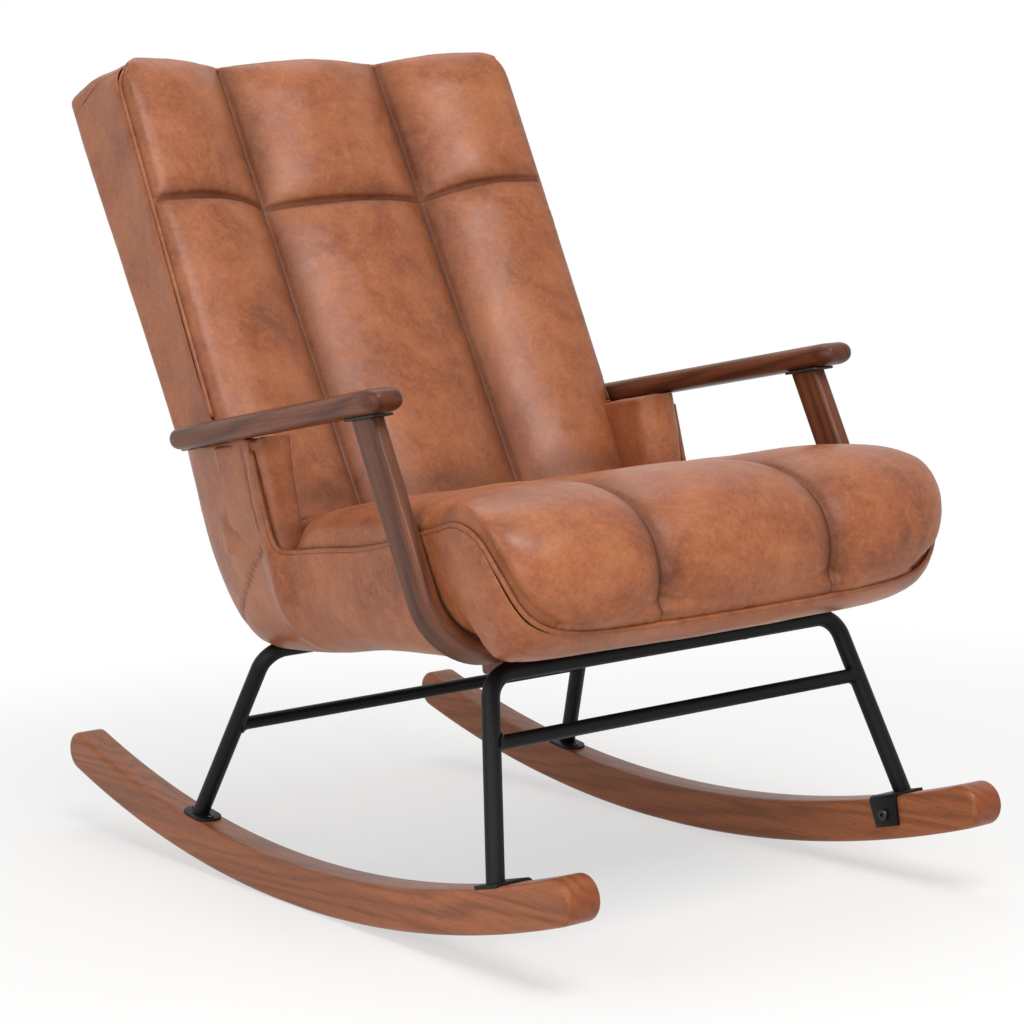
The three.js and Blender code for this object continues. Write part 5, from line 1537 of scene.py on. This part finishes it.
def make_back_cushion():
    """The inside back: three channels under a headrest band, foam in a sewn leather cover."""
    sizes = bpy.context.scene.chair_sizes
    grid = panel_grid(sizes.seam / BACK_HALF, sizes.cells)
    columns = len(grid) - 1
    low_rows, band_rows = 56, 26
    tuck = 28 * MM
    heights = [(BAND_START + tuck) * crowded(i / low_rows, 0.5) - tuck for i in range(low_rows + 1)]
    band = BACK_HEIGHT - BAND_START
    heights += [BAND_START + band * (crowded(2 * i / band_rows - 1, 0.6) + 1) / 2
                for i in range(1, band_rows + 1)]
    rows = len(heights) - 1
    seat = sizes.welt + 0.6 * MM

    def front(across, up, half):
        puff = panel_puff(across, sizes.seam, half)
        from_band = abs(up - BAND_START) / (48 * MM)
        floor = BAND_FLOOR if abs(across) > sizes.seam else 0.8 * BAND_FLOOR
        ends = lerp(floor, 1, math.sqrt(max(0, 1 - (1 - min(1, from_band)) ** 2)))
        crown = sizes.crown
        if up > BAND_START:
            crown = sizes.headrest_crown
            from_top = (BACK_HEIGHT - up) / (62 * MM)
            ends *= lerp(TOP_FLOOR, 1, math.sqrt(max(0, 1 - (1 - min(1, from_top)) ** 2)))
        edge = seat * ease(past_seam(across), 0.75, 1)
        return base_out(across, up) + edge + crown * puff * ends

    def place(a, b, c):
        side = grid[round((a + 1) / 2 * columns)]
        up = heights[round((b + 1) / 2 * rows)]
        half = back_half_at(up)
        across, flat_up = rounded_place([side * half, up, 0], [half, BACK_HEIGHT - 4 * MM, 1],
                                        [TOP_CORNER, TOP_CORNER, 1])[:2]
        rim = base_out(across, flat_up) + MM
        lift = top_edge(across) - BACK_HEIGHT
        arch = (band_line(across) - BAND_START) * near(flat_up - BAND_START, 90 * MM)
        real_up = flat_up + lift * ease(flat_up, BAND_START, BACK_HEIGHT) + arch
        if c < 0:
            inner = ease(min(half - abs(across), BACK_HEIGHT - up), 6 * MM, 30 * MM)
            if up < shell_start(0):
                inner = 1
            return on_back(across, real_up, lerp(rim - 4 * MM, -40 * MM, inner))
        out = front(across, flat_up, half)
        return on_back(across, real_up, lerp(rim, max(out, rim + MM) + 2 * MM, (c + 1) / 2))

    bm = block((columns, rows, 3), place)
    cushion = finished("back_cushion_cover", bm, "leather", ["back_cushion"])
    held = []
    for v in cushion.data.vertices:
        across, up, _ = off_back(v.co)
        on_seam = abs(abs(across) - sizes.seam) < 2.5 * MM
        on_band = abs(up - band_line(across)) < 2.5 * MM
        rim = past_seam(across) > 0.97 or up > BACK_HEIGHT - 4 * MM or up < 20 * MM
        if on_seam or on_band or rim or v.normal.dot(BACK_OUT) < 0.1:
            held.append(v.index)
    inflate(cushion, held, 14 * MM)
    subdivided(cushion)

    def shape(co, normal, cell):
        across, up, _ = off_back(co)
        facing = ease(normal.dot(BACK_OUT), 0.0, 0.35)
        seam_gap = abs(abs(across) - sizes.seam)
        band_gap = abs(up - band_line(across))
        groove = -3.2 * MM * max(near(seam_gap, 3.2 * MM), near(band_gap, 3.0 * MM)) * facing
        pull = near(seam_gap, 22 * MM) - near(seam_gap, 6 * MM)
        puckers = 0.6 * MM * pull * noise.noise(Vector((across / (70 * MM), up / (11 * MM), 1)))
        band_pull = near(band_gap, 20 * MM) - near(band_gap, 5 * MM)
        puckers += 0.7 * MM * band_pull * noise.noise(Vector((across / (12 * MM), up / (60 * MM), 2)))
        edge_gap = BACK_HALF - abs(across)
        hem = near(edge_gap - 8 * MM, 16 * MM)
        gathers = 0.6 * MM * hem * noise.noise(Vector((across / (50 * MM), up / (7 * MM), 4)))
        middle = centre_folds(across, up)
        fine = 0.16 * MM * noise.noise(co / (8 * MM))
        # Painted shade: darker along the channel seams and the headrest seam, in wider bands beside them,
        # towards the side edges and towards the foot of the back, on faces that look out of the back.
        crease_shade = max(near(seam_gap, 2.2 * MM), near(band_gap, 1.9 * MM),
                     0.55 * near(seam_gap, 23 * MM), 0.45 * near(band_gap, 15 * MM),
                     0.4 * near(edge_gap, 13 * MM), 0.5 * near(up, 22 * MM)) * facing
        return groove + puckers + gathers + middle + fine + cushioned(co, 1.6 * MM, 0.45 * MM), crease_shade
    detail(cushion, shape)
    return cushion


def band_line(across):
    """How far up the back the headrest's lower seam runs."""
    seam = bpy.context.scene.chair_sizes.seam
    past = past_seam(across)
    arch = math.sin(math.pi * past) * 4 * MM if abs(across) > seam else 0
    return BAND_START + arch


def centre_folds(across, up):
    """Soft folds where the hide is slack in the middle channel and the headrest."""
    if up < BAND_START:
        line = lerp(40 * MM, -30 * MM, up / BAND_START)
        fade = ease(up, 60 * MM, 150 * MM) * (1 - ease(up, BAND_START - 70 * MM, BAND_START - 10 * MM))
        away = across - line - 6 * MM * math.sin(up / (70 * MM))
        return fade * (0.7 * MM * near(away - 14 * MM, 12 * MM) - 0.8 * MM * near(away, 9 * MM)
                       + 0.5 * MM * near(away + 17 * MM, 13 * MM))
    line = 6 * MM + 4 * MM * math.sin(up / (40 * MM))
    fade = ease(up, BAND_START + 5 * MM, BAND_START + 30 * MM)
    fade *= 1 - ease(up, BAND_START + 90 * MM, BAND_START + 130 * MM)
    away = across - line
    return fade * (0.9 * MM * near(away - 8 * MM, 7 * MM) - 1.2 * MM * near(away, 4 * MM))


def back_welt_points():
    """The middle line of the back's welt, from one arm over the top to the other."""
    inset = bpy.context.scene.chair_sizes.welt / 2
    start = shell_start(WELT_OUT_LOW) + 32 * MM
    turn = TOP_CORNER
    top = BACK_HEIGHT - inset
    half = BACK_HALF - inset

    def place(across, up, extra=0.0):
        return on_back(across, up + extra, base_out(across, up) + 0.6 * inset)

    left = sampled(lambda share: place(half, lerp(start, top - turn, share)), 60)
    for i in range(1, 9):
        angle = math.pi / 2 * i / 8
        left.append(place(half - turn * (1 - math.cos(angle)), top - turn * (1 - math.sin(angle))))
    for i in range(1, 41):
        across = lerp(half - turn, 0, i / 40)
        left.append(place(across, top, top_edge(across) - BACK_HEIGHT))
    return left + mirrored(left[:-1])


def make_back_welt():
    """A cord in a strip of leather, sewn round the edge between the cushion and the shell."""
    radius = bpy.context.scene.chair_sizes.welt / 2
    cord_piece("back_welt_cord", [back_welt_points()], radius * 0.88, ["back_welt"], 12)


# Wings

def make_wing(side):
    """The padded cheek between the back cushion and the side of the tub."""
    name = side_name(side)
    low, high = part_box(f"side_wing_{name}")

    def place(a, b, c):
        rise = (c + 1) / 2
        front = lerp(WING_FRONT_LOW, WING_FRONT_HIGH, rise)
        outer = lerp(WING_OUTER_LOW, WING_OUTER_HIGH, rise)
        half = ((outer - WING_INNER) / 2, (WING_REAR - front) / 2, 1)
        x, y = rounded_place([crowded(a) * half[0], crowded(b) * half[1], 0], half,
                             [20 * MM, 22 * MM, 1])[:2]
        spot = (WING_REAR + front) / 2 + y
        top = arm_under(spot) - 2 * CLEARANCE - 5 * MM * ease(abs(a), 0.5, 1) * (a * side < 0)
        # The pad narrows towards its rear, where it meets the back cushion
        narrow = 14 * MM * ease(spot, 10 * MM, WING_REAR) * (1 - x / half[0]) / 2
        across = (outer + WING_INNER) / 2 + x + narrow
        return Vector((side * across, spot, lerp(low.z - WING_SUNK, top, rise)))

    bm = block((10, 26, 34), place)
    wing = finished(f"side_wing_{name}_cover", bm, "leather", [f"side_wing_{name}"])
    subdivided(wing)

    def shape(co, normal, cell):
        rise = (co.z - low.z) / (high.z - low.z)
        pinch = -3.0 * MM * near(rise - 0.16, 0.06) * ease(-normal.y, 0.0, 0.7)
        pinch += 2.2 * MM * math.sin(math.pi * min(max(rise, 0), 1))
        fine = 0.3 * MM * noise.noise(co / (10 * MM))
        # Painted shade: darker low down on the pad round its pinch, and at its top under the arm.
        dark = max(0.4 * near(rise - 0.08, 0.1), 0.35 * near(rise - 1, 0.12))
        return pinch + fine + cushioned(co, 0.6 * MM), dark
    detail(wing, shape)


# Plain seams

def laid_on(piece, points, depth):
    """Points moved onto a piece's surface, with how deep the line is sunk."""
    tree = BVHTree.FromObject(piece, bpy.context.evaluated_depsgraph_get())
    placed = []
    for point in points:
        spot, normal, _, _ = tree.find_nearest(point)
        placed.append(spot - normal * depth)
    return placed


def make_seams():
    """The folded edges that show as fine lines where panels are sewn without a welt."""
    thread = bpy.context.scene.chair_sizes.thread
    tub = bpy.data.objects["seat_tub_cover"]
    shell = bpy.data.objects["back_shell_cover"]
    lines = [laid_on(tub, line, 0.2 * thread) for line in tub_seam_lines()]
    for side in (-1, 1):
        # Between the side panel and the top of the outside back
        across, up = side * (BACK_HALF - MM), BACK_HEIGHT - 4 * MM
        top = sampled(lambda share: on_back(across, up, lerp(WELT_OUT_HIGH - 4 * MM, -80 * MM, share)), 30)
        lines.append(laid_on(shell, top, 0.2 * thread))
    cord_piece("panel_seams", lines, thread / 2, [], 6)


# Feet and fasteners

def make_front_foot(side):
    """A bent strip of plate: a saddle on the runner and a tab down its inner face."""
    name = side_name(side)
    outer = RUNNER_WIDTH / 2 - 2 * MM
    reach = RUNNER_WIDTH / 2 + CLEARANCE + FOOT_PLATE / 2
    lift = CLEARANCE + FOOT_PLATE / 2
    bm = bmesh.new()
    verts, edges = ring(bm, rectangle_points(FOOT_PLATE, SADDLE_LENGTH, 0.6 * MM, 2))
    corners = [Vector((side * outer, 0, lift)), Vector((-side * reach, 0, lift)),
               Vector((-side * reach, 0, -TAB_DROP))]
    heading = corners[1] - corners[0]
    bmesh.ops.transform(bm, matrix=Matrix.Translation(corners[0]) @ turned_to(heading, UP), verts=verts)
    bmesh.ops.contextual_create(bm, geom=edges)
    last = sweep(bm, edges, corners, FOOT_PLATE, 6)
    bmesh.ops.contextual_create(bm, geom=last)
    bmesh.ops.recalc_face_normals(bm, faces=bm.faces)
    # The tab narrows at its lower corners
    straight = SADDLE_LENGTH / 2 - TAB_CORNER
    for v in bm.verts:
        past = -v.co.z - (TAB_DROP - TAB_CORNER)
        wide = abs(v.co.y) - straight
        if past > 0 and wide > 0:
            v.co.y = math.copysign(straight + wide * 0.55, v.co.y)
    bmesh.ops.transform(bm, matrix=on_runner(FRONT_FOOT_Y, side), verts=bm.verts)
    finished(f"front_foot_bracket_{name}_plate", bm, "black_steel",
             [f"front_foot_bracket_{name}"], sharp=40)


def make_rear_foot(side):
    """A round-ended flange between the leg and the runner."""
    name = side_name(side)
    bm = bmesh.new()
    outline = ring(bm, rectangle_points(FLANGE_WIDTH, FLANGE_LENGTH, FLANGE_CORNER, 12))[1]
    plate(bm, outline, UP * FOOT_PLATE, 0.9 * MM, 3)
    bmesh.ops.translate(bm, verts=bm.verts, vec=UP * CLEARANCE)
    bmesh.ops.transform(bm, matrix=on_runner(REAR_FOOT_Y, side), verts=bm.verts)
    finished(f"rear_foot_flange_{name}_plate", bm, "black_steel", [f"rear_foot_flange_{name}"], sharp=40)


def make_fastener(node, heading, head, height, shank):
    """A socket-head fastener: turned head with a rounded rim, hexagon socket and shank."""
    low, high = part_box(node)
    heading = heading.normalized()
    middle = (low + high) / 2
    reach = abs((high - low).dot(Vector([abs(c) for c in heading])))
    # The box is longer than the fastener where it is tilted, so the head's rim comes off it
    tilt = head * math.sqrt(max(0, 1 - max(abs(c) for c in heading) ** 2))
    length = reach - tilt
    bm = bmesh.new()
    radius = 0.32 * head
    socket = ring(bm, circle_points(0.2 * head, 6))[1]
    edges = ring(bm, circle_points(radius, 24))[1]
    bmesh.ops.bridge_loops(bm, edges=socket + edges)
    deep, floor = extruded(bm, socket)
    bmesh.ops.translate(bm, verts=deep, vec=UP * height * 0.55)
    bmesh.ops.contextual_create(bm, geom=floor)
    for new_radius, drop in ((0.45 * head, 0.12 * height), (head / 2, 0.38 * height),
                             (head / 2, height), (shank / 2, height), (shank / 2, length)):
        fresh, edges = extruded(bm, edges)
        for v in fresh:
            v.co = Vector((v.co.x * new_radius / radius, v.co.y * new_radius / radius, drop))
        radius = new_radius
    bmesh.ops.contextual_create(bm, geom=edges)
    turn = turned_to(heading, heading.orthogonal())
    start = middle - heading * length / 2
    bmesh.ops.transform(bm, matrix=Matrix.Translation(start) @ turn, verts=bm.verts)
    bmesh.ops.recalc_face_normals(bm, faces=bm.faces)
    finished(f"{node}_steel", bm, "dark_steel", [node], sharp=35)


# Stage

def make_camera():
    data = bpy.data.cameras.new("Camera")
    data.lens = LENS
    data.sensor_width = SENSOR
    data.clip_start = 0.05
    data.clip_end = 60
    camera = new_object("Camera", data)
    turn = Matrix((CAMERA_RIGHT, CAMERA_UP, CAMERA_BACK)).transposed().to_4x4()
    camera.matrix_world = Matrix.Translation(CAMERA_PLACE) @ turn
    bpy.context.scene.camera = camera


def background_rays(holder):
    """1 for the rays that show the background, straight or in a gloss, and 0 for those that light."""
    rays = add_node(holder, "ShaderNodeLightPath").outputs
    in_gloss = add_node(holder, "ShaderNodeMath", {0: rays["Is Glossy Ray"], 1: rays["Is Transmission Ray"]},
                        operation="MAXIMUM")
    return add_node(holder, "ShaderNodeMath", {0: rays["Is Camera Ray"], 1: in_gloss}, operation="MAXIMUM")


def pale_paint(name):
    """Matt studio paper. The camera sees it white, and it keeps the chair's shadow."""
    m = start_material(name)
    colour = tuple(bpy.context.scene.chair_colours.floor)
    place = add_node(m, "ShaderNodeTexCoord").outputs["Object"]
    mottle = add_node(m, "ShaderNodeTexNoise", {"Vector": place, "Scale": 3.0, "Detail": 3.0})
    mottled = add_node(m, "ShaderNodeValToRGB", {"Fac": mottle}, [(0.3, 0.0), (0.7, 0.3)])
    tone = layered(m, colour, [(mottled, [c * 0.985 for c in colour])])
    paper = add_node(m, "ShaderNodeBsdfDiffuse", {"Color": tone})
    glow = add_node(m, "ShaderNodeEmission", {"Color": (1, 1, 1), "Strength": 1.0})
    # The paper glows more the further it is from the chair, so that no horizon shows
    far = add_node(m, "ShaderNodeVectorMath", {0: place}, operation="LENGTH").outputs["Value"]
    glowing = add_node(m, "ShaderNodeMapRange", {
        "Value": far, "From Min": 0.5, "From Max": 1.7, "To Min": 0.58, "To Max": 1.0})
    share = add_node(m, "ShaderNodeMath", {0: background_rays(m), 1: glowing}, operation="MULTIPLY")
    return end_material(m, add_node(m, "ShaderNodeMixShader", {0: share, 1: paper, 2: glow}))


def make_stage():
    """A paper sweep: a floor that curves up into a backdrop, all round."""
    bm = bmesh.new()
    bmesh.ops.create_circle(bm, cap_ends=True, radius=SWEEP_RADIUS, segments=64)
    edges = [e for e in bm.edges if len(e.link_faces) == 1]
    for i in range(1, SWEEP_STEPS + 1):
        angle = math.pi / 2 * i / SWEEP_STEPS
        fresh, edges = extruded(bm, edges)
        out = SWEEP_RADIUS + SWEEP_BEND * math.sin(angle)
        for v in fresh:
            flat = Vector((v.co.x, v.co.y, 0)).normalized() * out
            v.co = Vector((flat.x, flat.y, SWEEP_BEND * (1 - math.cos(angle))))
    mesh = smooth_mesh("paper_sweep", bm)
    mesh.materials.append(pale_paint("Studio paper"))
    new_object("paper_sweep", mesh)


def add_lamp(name, place, target, size, power):
    """A square soft box that points at a target."""
    data = bpy.data.lights.new(name, "AREA")
    data.shape = "SQUARE"
    data.size = size
    data.energy = power
    lamp = new_object(name, data)
    lamp.location = place
    way = Vector(target) - Vector(place)
    lamp.rotation_euler = way.to_track_quat("-Z", "Y").to_euler()


def light_stage():
    """Large soft boxes and an even pale room."""
    middle = (0, -0.05, 0.5)
    add_lamp("Key softbox", (-0.5, -2.4, 3.1), middle, 1.7, 93)
    add_lamp("Side softbox", (-3.2, -0.9, 1.7), middle, 2.2, 40)
    add_lamp("Top softbox", (0.4, 0.9, 3.2), middle, 2.0, 26)
    add_lamp("Low fill", (-2.4, -2.9, 0.5), (0, 0, 0.2), 1.2, 23)
    world = bpy.data.worlds.new("Studio room")
    world.use_nodes = True
    world.node_tree.nodes.clear()
    strength = add_node(world, "ShaderNodeMapRange", {
        "Value": background_rays(world), "To Min": ROOM_LIGHT, "To Max": 1.0})
    background = add_node(world, "ShaderNodeBackground", {"Color": (1, 1, 1), "Strength": strength})
    add_node(world, "ShaderNodeOutputWorld", {"Surface": background})
    bpy.context.scene.world = world
    bpy.context.scene.view_settings.view_transform = "Standard"


# Operators

class CHAIR_OT_stage(bpy.types.Operator):
    """Set up the camera, the paper sweep and the soft boxes"""
    bl_idname = "chair.stage"
    bl_label = "Stage"

    def execute(self, context):
        make_camera()
        make_stage()
        light_stage()
        return {"FINISHED"}


class CHAIR_OT_runners(bpy.types.Operator):
    """Build the two curved walnut runners"""
    bl_idname = "chair.runners"
    bl_label = "Runners"

    def execute(self, context):
        for side in SIDES.values():
            make_runner(side)
        return {"FINISHED"}


class CHAIR_OT_hoops(bpy.types.Operator):
    """Build the bent steel hoops and their welded stretchers"""
    bl_idname = "chair.hoops"
    bl_label = "Hoops"

    def execute(self, context):
        make_hoop("front_hoop", FRONT_FOOT_X, FRONT_FOOT_Y, FRONT_BAR)
        make_hoop("rear_hoop", REAR_FOOT_X, REAR_FOOT_Y, REAR_BAR)
        make_stretcher("front_stretcher", FRONT_FOOT_X, FRONT_FOOT_Y, FRONT_BAR, FRONT_STRETCHER_SHARE)
        make_stretcher("rear_stretcher", REAR_FOOT_X, REAR_FOOT_Y, REAR_BAR, REAR_STRETCHER_SHARE)
        return {"FINISHED"}


class CHAIR_OT_feet(bpy.types.Operator):
    """Build the plates that carry the hoops on the runners"""
    bl_idname = "chair.feet"
    bl_label = "Feet"

    def execute(self, context):
        for side in SIDES.values():
            make_front_foot(side)
            make_rear_foot(side)
        return {"FINISHED"}


class CHAIR_OT_fasteners(bpy.types.Operator):
    """Build the socket screws of the feet, the mounts and the arms"""
    bl_idname = "chair.fasteners"
    bl_label = "Fasteners"

    def execute(self, context):
        rear_down = (on_runner(REAR_FOOT_Y, 1).to_3x3() @ UP) * -1
        seat_up = Matrix.Rotation(-math.atan(BOTTOM_RISE), 3, "X") @ UP
        for name, side in SIDES.items():
            make_fastener(f"front_foot_bolt_{name}", LEFT * side, *BOLT)
            make_fastener(f"arm_bolt_{name}", LEFT * side, *BOLT)
            for end in ("front", "rear"):
                make_fastener(f"{end}_mount_bolt_{name}", seat_up, *BOLT)
            for number in (1, 2):
                make_fastener(f"rear_foot_screw_{name}_{number}", rear_down, *SCREW)
        return {"FINISHED"}


class CHAIR_OT_arms(bpy.types.Operator):
    """Build the armrests, their posts and the pads between them"""
    bl_idname = "chair.arms"
    bl_label = "Arms"

    def execute(self, context):
        for side in SIDES.values():
            make_arm(side)
            make_post(side)
            make_spacer(side)
        make_cross_rail()
        return {"FINISHED"}


class CHAIR_OT_tub(bpy.types.Operator):
    """Build the sewn cover of the tub and its wings"""
    bl_idname = "chair.tub"
    bl_label = "Tub"

    def execute(self, context):
        make_tub()
        for side in SIDES.values():
            make_wing(side)
        return {"FINISHED"}


class CHAIR_OT_seat(bpy.types.Operator):
    """Build the channelled seat cushion and its welt"""
    bl_idname = "chair.seat"
    bl_label = "Seat"

    def execute(self, context):
        make_seat_cushion()
        make_seat_welt()
        return {"FINISHED"}


class CHAIR_OT_back(bpy.types.Operator):
    """Build the outside back, the channelled back cushion and its welt"""
    bl_idname = "chair.back"
    bl_label = "Back"

    def execute(self, context):
        make_back_shell()
        make_back_cushion()
        make_back_welt()
        return {"FINISHED"}


class CHAIR_OT_seams(bpy.types.Operator):
    """Lay the plain seams on the covers"""
    bl_idname = "chair.seams"
    bl_label = "Seams"

    def execute(self, context):
        make_seams()
        return {"FINISHED"}


class CHAIR_OT_inside(bpy.types.Operator):
    """Finish the frames, straps, cover cloth and plates that stay as built"""
    bl_idname = "chair.inside"
    bl_label = "Inside"

    def execute(self, context):
        slots = {s["node"]: s["material_slot"] for s in frame["record"]["subparts"]}
        for name, node in frame["nodes"].items():
            if node.hide_render:
                continue
            node.data.materials.clear()
            node.data.materials.append(finish(slots[name]))
            weld = node.modifiers.new("Merge corners", "WELD")
            weld.merge_threshold = MM / 100
            edge = node.modifiers.new("Broken edges", "BEVEL")
            edge.width = 0.35 * MM
            edge.segments = 1
            edge.limit_method = "ANGLE"
            edge.angle_limit = math.radians(40)
        return {"FINISHED"}


class CHAIR_PT_panel(bpy.types.Panel):
    """Lists the steps that build the chair"""
    bl_idname = "CHAIR_PT_panel"
    bl_label = "Rocking chair"
    bl_space_type = "VIEW_3D"
    bl_region_type = "UI"
    bl_category = "Chair"

    def draw(self, context):
        for group in (context.scene.chair_sizes, context.scene.chair_colours):
            for name in group.__annotations__:
                self.layout.prop(group, name)
        for step in STEPS:
            self.layout.operator(step.bl_idname)


STEPS = (CHAIR_OT_stage, CHAIR_OT_runners, CHAIR_OT_hoops, CHAIR_OT_feet, CHAIR_OT_arms, CHAIR_OT_tub,
         CHAIR_OT_seat, CHAIR_OT_back, CHAIR_OT_seams, CHAIR_OT_fasteners, CHAIR_OT_inside)


def register():
    for kind in (ChairSizes, ChairColours, *STEPS, CHAIR_PT_panel):
        bpy.utils.register_class(kind)
    bpy.types.Scene.chair_sizes = PointerProperty(type=ChairSizes)
    bpy.types.Scene.chair_colours = PointerProperty(type=ChairColours)


def unregister():
    del bpy.types.Scene.chair_sizes
    del bpy.types.Scene.chair_colours
    for kind in (CHAIR_PT_panel, *reversed(STEPS), ChairColours, ChairSizes):
        bpy.utils.unregister_class(kind)


def main():
    register()
    for step in STEPS:
        group, name = step.bl_idname.split(".")
        getattr(getattr(bpy.ops, group), name)()


if __name__ == "__main__":
    main()
